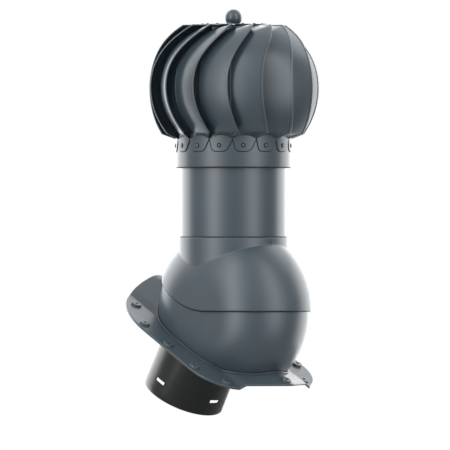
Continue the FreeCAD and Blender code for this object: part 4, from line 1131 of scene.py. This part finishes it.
@dataclass
class Duct:
    """Black round duct that hangs in the plate's collar, with four slots near its open end."""

    radius: float = 64.0
    wall: float = 2.5
    along: float = 65.0
    low: float = -103.0
    high: float = 33.0
    edge: float = 0.4
    lip_low: float = 30.0
    lip_radius: float = 70.0
    lip_root: float = 0.6
    slot_length: float = 20.0
    slot_height: float = 6.0
    slot_level: float = -78.8
    slot_columns: int = 7
    plain_columns: int = 22
    plain_levels: tuple[float, ...] = (-95.0, -60.0, -30.0, 0.0)

    def ring(self, level: float, radius: float, angles: np.ndarray) -> np.ndarray:
        """One ring of the duct."""
        return revolved(np.array([[radius, level]]), angles)[0] + np.array([0, self.along, 0])

    def build(self) -> bpy.types.Object:
        """Make the wall as two skins with the slots left out, closed by strips, and the lip.

        Returns:
            The duct.
        """
        skin = Skin()
        half = self.slot_length / 2 / self.radius
        slot = np.linspace(-half, half, self.slot_columns)
        base = np.concatenate([slot, np.linspace(half, math.pi / 2 - half, self.plain_columns)[1:-1]])
        angles = np.concatenate([base + quarter * math.pi / 2 for quarter in range(4)])
        gap = self.slot_height / 2
        levels = [self.low + self.edge, self.plain_levels[0], self.slot_level - gap, self.slot_level + gap,
                  *self.plain_levels[1:], self.high]
        keep = np.ones((len(levels) - 1, len(angles)), bool)
        keep[2] = np.tile(np.arange(len(base)) >= len(slot) - 1, 4)
        radii = (self.radius, self.radius - self.wall)
        outer, inner = [np.array([self.ring(level, radius, angles) for level in levels]) for radius in radii]
        skin.grid(on_slope(outer), around=True, keep=keep)
        skin.grid(on_slope(inner), around=True, keep=keep)
        foot_out, foot_in = [self.ring(self.low, radius, angles) for radius in radii]
        foot = [outer[0], *bend(outer[0], foot_out, foot_in, self.edge, 2),
                *bend(foot_out, foot_in, inner[0], self.edge, 2), inner[0]]
        skin.grid(on_slope(np.array(foot)), around=True)
        skin.grid(on_slope(np.array([outer[-1], inner[-1]])), around=True)
        for first in range(0, len(angles), len(base)):
            last = first + len(slot) - 1
            for row in (2, 3):
                skin.grid(on_slope(np.array([outer[row, first:last + 1], inner[row, first:last + 1]])))
            for column in (first, last):
                skin.grid(on_slope(np.array([outer[2:4, column], inner[2:4, column]])))
        root = self.radius - self.lip_root
        lip = rounded([(root, self.lip_low, 0), (self.lip_radius, self.lip_low, 0.6),
                       (self.lip_radius, self.high, 0.8), (root, self.high, 0)])
        at = np.array([0, self.along, 0])
        skin.grid(on_slope(revolved(lip, turn_of(120)) + at), around=True, closed=True)
        return skin.piece("duct_skin", 40)


@dataclass
class StackPipe:
    """Painted sheet pipe."""

    radius: float = 80.0
    wall: float = 1.5
    low: float = 175.0
    high: float = 328.0
    low_edge: float = 0.3
    high_edge: float = 0.4

    def build(self) -> bpy.types.Object:
        """Make the pipe: a closed profile turned round.

        Returns:
            The pipe.
        """
        inner = self.radius - self.wall
        profile = rounded([(inner, self.low, self.low_edge), (self.radius, self.low, self.low_edge),
                           (self.radius, self.high, self.high_edge), (inner, self.high, self.high_edge)], 3)
        return turned_piece("stack_pipe_skin", profile, 220)


# Turbine

@dataclass
class Turbine:
    """Fifteen curved blades, the ring they stand on, the disc and ball knob on top, and their rivets.

    A blade's edges are given by radius, lead (degrees ahead of the outer edge's belly) and rise (millimetres
    above the belly).
    """

    belly: float = 412.0
    fold: float = -79.0
    sheet: float = 1.0
    tab_radius: float = 88.3
    tab_half: float = 11.7
    tab_narrow: float = 7.2
    tab_lean: float = 1.7
    tab_lag: float = 10.4
    tab_height: float = 18.3
    tab_rows: int = 14
    side_rows: int = 45
    fold_arch: float = 5.6
    bulge: float = -0.6
    outer_radius: float = 130.0
    outer_low_depth: float = 130.0
    outer_high_depth: float = 120.0
    outer_low: float = -70.0
    inner_radius: float = 114.0
    inner_depth: float = 104.0
    inner_low: float = -69.0
    crown: float = 94.9
    crown_inner: float = 41.0
    crown_join: float = 75.0
    blade_span: float = 23.2
    crown_span: float = 23.0
    low_twist: float = 8.5
    high_twist: float = 26.0
    crown_twist: float = 34.0
    inner_low_twist: float = 1.6
    phase: float = 5.0
    hem_width: float = 4.2
    hem_rise: float = 0.9
    inner_hem_width: float = 2.3
    outer_steps: tuple[float, ...] = (0, 0.18, 0.5, 1.0, 2.2, 3.4, 3.9, 4.2, 4.5, 5.2)
    inner_steps: tuple[float, ...] = (4.0, 3.2, 2.6, 2.3, 2.0, 1.0, 0.5, 0.18, 0)
    disc_radius: float = 53.0
    disc_low: float = 506.9
    disc_top: float = 508.4
    disc_bore: float = 6.1
    disc_rivets: float = 48.0
    tab_rivet_level: float = 323.4
    rivet_head: float = 2.6
    rivet_dome: float = 1.5
    rivet_shank: float = 1.6
    rivet_tail: float = 2.5
    tab_grip: float = 2.45
    disc_grip: float = 3.05
    collar_radius: float = 87.2
    collar_wall: float = 1.2
    collar_low: float = 291.0
    collar_high: float = 332.0
    collar_edge: float = 0.4
    knob_radius: float = 13.2
    knob_centre: float = 518.6
    knob_bore: float = 6.05
    knob_bore_depth: float = 14.0
    # Painted shade: dark outlines round the tabs for their shadow gaps, dark rings round the tab rivets for
    # the shadow at the heads, and a dark trim under the ring for the shade below its edge.
    shade_bead_width: float = 1.1
    shade_washer: tuple[Triple, ...] = ((2.2, -0.2, 0), (2.2, 0.7, 0), (3.5, 0.45, 0.15), (3.6, -0.2, 0))
    shade_trim_inner: float = 84.5
    shade_trim_drop: float = 1.3

    def outer_edge(self, rise: np.ndarray) -> tuple[np.ndarray, np.ndarray]:
        """Find the outer edge: quarter ellipses, and a lead that grows to both ends as a power of the rise.

        Args:
            rise: Rises over the belly.

        Returns:
            Radius and lead.
        """
        depth = np.where(rise > 0, self.outer_high_depth, self.outer_low_depth)
        radius = self.outer_radius * np.sqrt(1 - (rise / depth) ** 2)
        low = self.low_twist * (rise / self.outer_low) ** 2
        high = self.high_twist * (np.maximum(rise, 0) / self.crown) ** 2.56
        return radius, np.where(rise < 0, low, high)

    def inner_lead(self, rise: np.ndarray) -> np.ndarray:
        """Find the lead of the inner edge: one span behind, growing to both ends as a power of the rise.

        Args:
            rise: Rises over the belly.

        Returns:
            The leads.
        """
        low = self.inner_low_twist * (rise / self.inner_low) ** 2
        final = self.crown_twist - self.crown_span + self.blade_span
        high = final * (np.maximum(rise, 0) / self.crown) ** 5.85
        return np.where(rise < 0, low, high) - self.blade_span

    def edge_rows(self) -> tuple[np.ndarray, np.ndarray, np.ndarray, np.ndarray]:
        """Follow both edges along a blade: tab, fold, side and the flat end under the disc.

        Returns:
            Radius, lead and rise of the outer and of the inner edge, and each row's shares of hem and arch.
        """
        tab = 1 - np.cos(np.linspace(0, 1, self.tab_rows) * math.pi / 2)
        corner = 0.55 + 0.45 * np.sqrt(1 - (1 - np.minimum(tab / 0.28, 1)) ** 2)
        half = (self.tab_narrow + (self.tab_half - self.tab_narrow) * tab) * corner
        lag = self.tab_lag - self.tab_lean * tab
        rise = self.fold - self.tab_height * (1 - tab)
        flat = np.full_like(rise, self.tab_radius)
        outer = [np.stack([flat, half - lag, rise], axis=-1)]
        inner = [np.stack([flat, -half - lag, rise], axis=-1)]
        outer_turn = np.linspace(math.asin(self.outer_low / self.outer_low_depth),
                                 math.asin(self.crown / self.outer_high_depth), self.side_rows)
        rise = np.where(outer_turn > 0, self.outer_high_depth, self.outer_low_depth) * np.sin(outer_turn)
        radius, lead = self.outer_edge(rise)
        outer.append(np.stack([radius, lead, rise], axis=-1))
        inner_turn = np.linspace(math.asin(self.inner_low / self.inner_depth),
                                 math.acos(self.crown_join / self.inner_radius), self.side_rows)
        rise = self.inner_depth * np.sin(inner_turn)
        inner.append(np.stack([self.inner_radius * np.cos(inner_turn), self.inner_lead(rise), rise], axis=-1))
        share = np.linspace(0, 1, 12)[1:]
        rim = float(self.outer_edge(np.array(self.crown))[0])
        radius = rim + (self.crown_inner - rim) * share
        lead = self.high_twist + (self.crown_twist - self.high_twist) * share
        outer.append(np.stack([radius, lead, np.full_like(share, self.crown)], axis=-1))
        radius = self.crown_join + (self.crown_inner - self.crown_join) * share
        rise = np.minimum(self.inner_depth * np.sqrt(1 - (radius / self.inner_radius) ** 2), self.crown)
        inner.append(np.stack([radius, self.inner_lead(rise), rise], axis=-1))
        bridge = np.linspace(0, 1, 5)[1:-1, None]
        for edge in (outer, inner):
            edge.insert(1, edge[0][-1] + (edge[1][0] - edge[0][-1]) * bridge)
        hem = np.concatenate([np.zeros(self.tab_rows), [0.3, 0.8, 1], np.ones(self.side_rows),
                              np.clip((1 - share) * 4 - 1.4, 0, 1)])
        arch = np.concatenate([tab ** 1.5, 1 - bridge[:, 0], np.zeros(self.side_rows + len(share))])
        return np.concatenate(outer), np.concatenate(inner), hem, arch

    def blade_sheet(self) -> tuple[np.ndarray, np.ndarray, np.ndarray]:
        """Make the first blade's outside: outer + (inner - outer) * share, bulged in the middle.

        The bulge and the tab's arched fold are parabolas across the blade. The hems stand up by smooth
        steps near both edges, and the sheet's own edges are rounded.

        Returns:
            The points, their unit normals and the hem's height at each.
        """
        outer, inner, hem, arch = self.edge_rows()

        def spot(edge: np.ndarray) -> np.ndarray:
            """Find points of an edge.

            Args:
                edge: Radius, lead and rise.

            Returns:
                The points in the frame.
            """
            radius, angle = edge[..., 0], np.radians(self.phase + edge[..., 1])
            height = self.belly + edge[..., 2]
            return np.stack([radius * np.cos(angle), radius * np.sin(angle), height], axis=-1)

        rows = np.arange(len(hem))
        body = np.clip(np.minimum(rows - 15, len(hem) - 12 - rows) / 10, 0, 1)
        width = np.linalg.norm(spot(outer) - spot(inner), axis=-1)[:, None]
        scale = np.minimum(width / 16, 1)
        near = np.array(self.outer_steps) * scale
        far = width - np.array(self.inner_steps) * scale
        middle = near[:, -1:] + (far[:, :1] - near[:, -1:]) * np.linspace(0, 1, 16)[1:-1]
        distance = np.hstack([near, middle, far])
        share = (distance / width)[..., None]
        cells = outer[:, None] + (inner - outer)[:, None] * share
        cells[..., 0] += self.bulge * body[:, None] * share[..., 0] * (1 - share[..., 0]) * 4
        cells[..., 2] += self.fold_arch * arch[:, None] * (1 - (2 * share[..., 0] - 1) ** 2)
        points = spot(cells)
        normal = np.cross(np.gradient(points, axis=0), np.gradient(points, axis=1))
        normal /= np.maximum(np.linalg.norm(normal, axis=-1, keepdims=True), 1e-9)
        middle_row = points.shape[0] // 2
        sign = np.sign((normal[middle_row, 12] * points[middle_row, 12])[:2].sum())
        edge = np.minimum(distance, width - distance) / scale
        rounding = np.sqrt(np.clip(1 - (1 - np.clip(edge / 0.5, 0, 1)) ** 2, 0, 1)) - 1
        outer_hem = np.clip((self.hem_width - distance / scale) / 0.6, 0, 1)
        outer_hem = outer_hem * outer_hem * (3 - 2 * outer_hem) * np.clip(edge / 0.9, 0, 1) ** 0.5
        inner_hem = np.clip((self.inner_hem_width - (width - distance) / scale) / 0.5, 0, 1)
        inner_hem = inner_hem * 0.45 * np.clip(edge / 0.5, 0, 1) ** 0.5
        lift = (outer_hem + inner_hem) * hem[:, None] * self.hem_rise + rounding * 0.45
        return points, normal * sign, lift

    def blade(self, index: int) -> bpy.types.Object:
        """Make one blade: outside and inside of the sheet as one loop across, capped at both ends.

        Args:
            index: Number of the blade, from 0.

        Returns:
            The blade.
        """
        points, normal, lift = self.blade_sheet()
        over = points + normal * lift[..., None]
        under = points - normal * (self.sheet + np.minimum(lift, 0)[..., None])
        loop = np.concatenate([over, under[:, ::-1]], axis=1)
        turn = math.radians(360 / BLADE_COUNT * index)
        spin = np.array([compass(turn), [-math.sin(turn), math.cos(turn), 0], UP])
        skin = Skin()
        skin.grid(loop @ spin, around=True)
        for row in (0, -1):
            skin.grid(np.array([over[row], under[row]]) @ spin)
        return skin.piece("blade_%02d_skin" % (index + 1), 30)

    def tab_turn(self, index: int) -> float:
        """Direction of the middle of a blade's tab, in radians."""
        return math.radians(self.phase - self.tab_lag + 360 / BLADE_COUNT * index)

    def on_tab(self, index: int, points: np.ndarray) -> np.ndarray:
        """Set points, made along Z, on the rivet's place of a blade's tab."""
        out = compass(self.tab_turn(index))
        return placed(points, np.cross(UP, out), UP, out, out * self.tab_radius + UP * self.tab_rivet_level)

    def rivet(self, grip: float) -> np.ndarray:
        """Make a rivet along Z: domed head, shank and closed end.

        Args:
            grip: Length of the shank.

        Returns:
            Rings of the rivet.
        """
        turn = np.linspace(math.pi / 2, 0.12, 7)
        head = np.column_stack([self.rivet_head * np.cos(turn), self.rivet_dome * np.sin(turn)])
        rest = [(self.rivet_head, 0), (self.rivet_shank, 0), (self.rivet_shank, -grip),
                (self.rivet_tail, -grip), (self.rivet_tail - 0.1, -grip - 1), (0, -grip - 1.2)]
        return revolved(np.vstack([head, rest]), turn_of(24))

    def build_rivets(self) -> tuple[bpy.types.Object, bpy.types.Object]:
        """Make the rivets of the tabs and of the disc.

        Returns:
            Both sets.
        """
        tabs, discs = Skin(), Skin()
        rim = float(self.outer_edge(np.array(self.crown))[0])
        share = (rim - self.disc_rivets) / (rim - self.crown_inner)
        lead = self.high_twist + (self.crown_twist - self.high_twist) * share - self.crown_span / 2
        for index in range(BLADE_COUNT):
            tabs.grid(self.on_tab(index, self.rivet(self.tab_grip)), around=True)
            out = compass(math.radians(self.phase + lead + 360 / BLADE_COUNT * index))
            discs.grid(self.rivet(self.disc_grip) + out * self.disc_rivets + UP * self.disc_top, around=True)
        return tabs.piece("tab_rivets_skin"), discs.piece("disc_rivets_skin")

    def tab_outline(self) -> tuple[np.ndarray, np.ndarray]:
        """Unroll the outline of the first tab, from one end of its fold to the other.

        Returns:
            Way round the ring and rise of each point, and its unit direction away from the tab.
        """
        outer, inner, _, _ = self.edge_rows()
        bottom = outer[0] + (inner[0] - outer[0]) * np.linspace(0, 1, 8)[1:-1, None]
        path = np.concatenate([outer[self.tab_rows - 1::-1], bottom, inner[:self.tab_rows]])[:, 1:]
        flat = np.column_stack([np.radians(path[:, 0]) * self.tab_radius, path[:, 1]])
        ahead = np.gradient(flat, axis=0)
        out = np.column_stack([ahead[:, 1], -ahead[:, 0]]) / np.linalg.norm(ahead, axis=1, keepdims=True)
        return flat, out * np.sign((out * (flat - flat.mean(axis=0))).sum())

    def build_painted_shade_rings(self) -> bpy.types.Object:
        """Make painted shade in black: a dark outline round each tab for its shadow gap, a dark ring round
        its rivet for the head's shadow, and a dark trim under the ring for the shade below its edge.

        Returns:
            The painted shade pieces.
        """
        flat, out = self.tab_outline()
        skin = Skin()
        shade_bead = ((-0.4, -0.2), (0.0, 0.7), (self.shade_bead_width, 0.5), (self.shade_bead_width + 0.1, -0.2))
        shade_washer = rounded(list(self.shade_washer))
        for index in range(BLADE_COUNT):
            rows = []
            for reach, lift in shade_bead:
                moved = flat + out * reach
                angle = moved[:, 0] / self.tab_radius + math.radians(self.phase + 360 / BLADE_COUNT * index)
                radius, height = self.collar_radius + lift, self.belly + moved[:, 1]
                rows.append(np.column_stack([radius * np.cos(angle), radius * np.sin(angle), height]))
            skin.grid(np.array(rows), closed=True)
            skin.grid(self.on_tab(index, revolved(shade_washer, turn_of(24))), around=True, closed=True)
        # Painted shade under the ring: a dark trim where its overhang shades the pipe.
        low, high = self.collar_low - self.shade_trim_drop, self.collar_low + 0.2
        trim = rounded([(self.shade_trim_inner, low, 0.3), (self.collar_radius - 0.3, low, 0.4),
                        (self.collar_radius - 0.1, high, 0), (self.shade_trim_inner, high, 0)])
        skin.grid(revolved(trim, turn_of(220)), around=True, closed=True)
        return skin.piece("turbine_painted_shade_rings")

    def build_collar(self) -> bpy.types.Object:
        """Make the ring: a closed profile turned round.

        Returns:
            The ring.
        """
        inner = self.collar_radius - self.collar_wall
        profile = tube(inner, self.collar_radius, self.collar_low, self.collar_high, self.collar_edge, 3)
        return turned_piece("collar_ring_skin", profile, 220)

    def build_disc(self) -> bpy.types.Object:
        """Make the top disc, its rim rounded and its middle open for the shaft.

        Returns:
            The disc.
        """
        profile = rounded([(self.disc_bore, self.disc_low, 0), (self.disc_radius, self.disc_low, 0.5),
                           (self.disc_radius, self.disc_top, 0.7), (self.disc_bore, self.disc_top, 0)])
        return turned_piece("top_disc_skin", profile, 160)

    def build_knob(self) -> bpy.types.Object:
        """Make the ball knob: a ball with a flat foot and a blind bore.

        Returns:
            The knob.
        """
        foot = math.asin((self.disc_top - self.knob_centre) / self.knob_radius)
        turn = np.linspace(foot, math.pi / 2, 40)
        height = self.knob_centre + self.knob_radius * np.sin(turn)
        ball = np.column_stack([self.knob_radius * np.cos(turn), height])
        end = self.disc_top + self.knob_bore_depth
        bore = [(0, end), (self.knob_bore, end), (self.knob_bore, self.disc_top)]
        skin = Skin()
        skin.grid(revolved(np.vstack([bore, ball]), turn_of(64)), around=True)
        return skin.piece("ball_knob_skin")


# Studio

@dataclass(frozen=True)
class Studio:
    """Camera, light all round and the floor.

    The light is a function of direction: a soft ground tone, a white wall behind the object, a weaker
    ceiling behind it and two upright soft boxes in front, one on each side of the camera. Lengths are
    in metres, and azimuths in degrees from the camera.
    """

    camera_angle: float = 225.0
    frame_width: float = 0.6858
    aim_rise: float = 0.2027
    aim_left: float = 0.0129
    distance: float = 12.0
    floor_level: float = -0.135
    floor_radius: float = 0.45
    floor_thickness: float = 0.004
    ground: float = 0.26
    ground_rise: float = 0.4
    wall_start: float = 102.0
    wall_full: float = 120.0
    wall_level: float = 1.5
    wall_wide: float = 1.1
    ceiling: float = 1.1
    box_azimuth: float = 44.0
    box_spread: float = 18.0
    box_strength: float = 2.3
    box_left: float = 0.5

    def camera(self) -> None:
        """Set the long lens level with the middle of the object."""
        turn = math.radians(self.camera_angle)
        right = np.array([-math.sin(turn), math.cos(turn), 0])
        at = compass(turn) * self.distance - right * self.aim_left
        lens = bpy.data.cameras.new("camera")
        lens.lens = lens.sensor_width * self.distance / self.frame_width
        lens.clip_end = 60
        seen = bpy.data.objects.new("camera", lens)
        seen.location = (at[0], at[1], self.aim_rise)
        seen.rotation_euler = (math.pi / 2, 0, turn + math.pi / 2)
        bpy.context.scene.collection.objects.link(seen)
        bpy.context.scene.camera = seen

    def strength(self, recipe: Recipe) -> Number:
        """Work out the light's strength from its direction: ground + wall + ceiling + boxes.

        Args:
            recipe: Nodes of the world.

        Returns:
            The strength.
        """
        way = recipe.node("ShaderNodeTexCoord").outputs["Generated"]
        turn = math.radians(self.camera_angle)

        def along(axis: Triple) -> Number:
            """Share of the direction along an axis."""
            dot = {"operation": "DOT_PRODUCT"}
            return recipe.number("ShaderNodeVectorMath", "Value", dot, {0: way, 1: axis})

        ahead = along((math.cos(turn), math.sin(turn), 0))
        aside = along((-math.sin(turn), math.cos(turn), 0))
        rise = along((0, 0, 1))
        azimuth = abs(ahead.joined("ARCTAN2", aside, ahead)) * (180 / math.pi)
        left = 1 - aside.eased(-0.7, 0.7)
        ground = (rise.eased(-0.6, 0.7) * self.ground_rise + self.ground) * (left * 0.3 + 0.82)
        wall = (self.wall_level * (1 - abs(rise).eased(0.35, 0.6))
                + self.wall_wide * (1 - abs(rise).eased(0.65, 0.9)))
        wall = azimuth.eased(self.wall_start, self.wall_full) * wall
        behind = 1 - ahead.eased(-0.3, 0.2)
        ceiling = rise.eased(0.5, 0.8) * behind * (self.ceiling - rise.eased(0.7, 0.92) * 0.8)
        off = (azimuth - self.box_azimuth) / self.box_spread
        tall = rise.eased(-0.8, -0.1) * (1 - rise.eased(0.8, 0.97))
        boxes = off.joined("EXPONENT", off * off * -1) * (left * self.box_left + self.box_strength) * tall
        return ground + wall + ceiling + boxes

    def light(self) -> None:
        """Light the object from all sides by the world, which the camera sees as plain white."""
        world = bpy.data.worlds.new("studio")
        bpy.context.scene.world = world
        bpy.context.scene.view_settings.view_transform = "Standard"
        recipe = Recipe(world)
        seen = recipe.number("ShaderNodeLightPath", "Is Camera Ray")
        level = self.strength(recipe) * (1 - seen) + seen
        background = recipe.node("ShaderNodeBackground", None, {"Color": (1, 1, 1, 1), "Strength": level})
        recipe.node("ShaderNodeOutputWorld", None, {"Surface": background.outputs[0]})

    def floor(self) -> None:
        """Lay the pale floor under the object: matt in its light, plain white to the camera."""
        top, radius = self.floor_level / MM, self.floor_radius / MM
        low = top - self.floor_thickness / MM
        skin = Skin()
        profile = np.array([(0, top), (radius, top), (radius, low), (0, low)])
        skin.grid(revolved(profile, turn_of(96)), around=True)
        made = skin.piece("floor")
        recipe = Recipe(bpy.data.materials.new("pale_floor"))
        seen = recipe.number("ShaderNodeLightPath", "Is Camera Ray")
        matt = recipe.node("ShaderNodeBsdfDiffuse", None, {"Color": (0.32, 0.32, 0.32, 1)})
        white = recipe.node("ShaderNodeEmission", None, {"Color": (1, 1, 1, 1), "Strength": 1.0})
        both = recipe.node("ShaderNodeMixShader", None, {0: seen, 1: matt.outputs[0], 2: white.outputs[0]})
        recipe.node("ShaderNodeOutputMaterial", None, {"Surface": both.outputs[0]})
        made.data.materials.append(recipe.owner)


INNER_FINISHES = {
    ZINC_STEEL: ("spider_bracket", "disc_washer", "disc_nut", "lower_lock_nut"),
    PIPE_PAINT: ("spider_rivets",),
    MACHINED_STEEL: ("bearing_tube", "shaft", "bearing_spacer"),
    BEARING_STEEL: ("upper_bearing_outer_ring", "lower_bearing_outer_ring", "upper_bearing_inner_ring",
                    "lower_bearing_inner_ring", "upper_bearing_balls", "lower_bearing_balls")}


def dress_inner_parts() -> None:
    """Give the hidden metal parts their finishes; their CAD meshes stay."""
    for finish, nodes in INNER_FINISHES.items():
        material = finish.material()
        for node in nodes:
            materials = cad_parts[node].data.materials
            materials.clear()
            materials.append(material)
            LOG.info("%s: %s", node, finish.name)


def main() -> None:
    """Build the cowl piece by piece, then light it."""
    logging.basicConfig(level=logging.INFO, format="%(message)s")
    studio = Studio()
    studio.camera()
    studio.light()
    studio.floor()
    plastic = DOME_PLASTIC.material()
    dome = Dome()
    fit_in(dome.plate.build(), "base", "dome_paint", plastic, "flashing_plate")
    fit_in(dome.build_lower_shell(), "base", "dome_paint", plastic, "lower_shell")
    fit_in(dome.build_hood(), "stack", "dome_paint", plastic, "hood")
    fit_in(Duct().build(), "base", "duct_plastic", DUCT_PLASTIC.material(), "duct")
    fit_in(StackPipe().build(), "stack", "pipe_paint", PIPE_PAINT.material(), "stack_pipe")
    turbine = Turbine()
    paint = TURBINE_PAINT.material()
    fit_in(turbine.build_collar(), "rotor", "turbine_paint", paint, "collar_ring")
    for index in range(BLADE_COUNT):
        fit_in(turbine.blade(index), "rotor", "turbine_paint", paint, "blade_%02d" % (index + 1))
    fit_in(turbine.build_disc(), "rotor", "turbine_paint", paint, "top_disc")
    fit_in(turbine.build_knob(), "rotor", "turbine_paint", paint, "ball_knob")
    rivets = RIVET_METAL.material()
    for made, node in zip(turbine.build_rivets(), ("tab_rivets", "disc_rivets")):
        fit_in(made, "rotor", "rivet_metal", rivets, node)
    # Painted shade: dark rings and outlines in the seams and gaps where shade falls.
    shade_rubber = PAINTED_SHADE_RUBBER.material()
    fit_in(dome.build_painted_shade_rings(), "stack", "duct_plastic", shade_rubber)
    fit_in(turbine.build_painted_shade_rings(), "rotor", "duct_plastic", shade_rubber)
    dress_inner_parts()


if __name__ == "__main__":
    main()
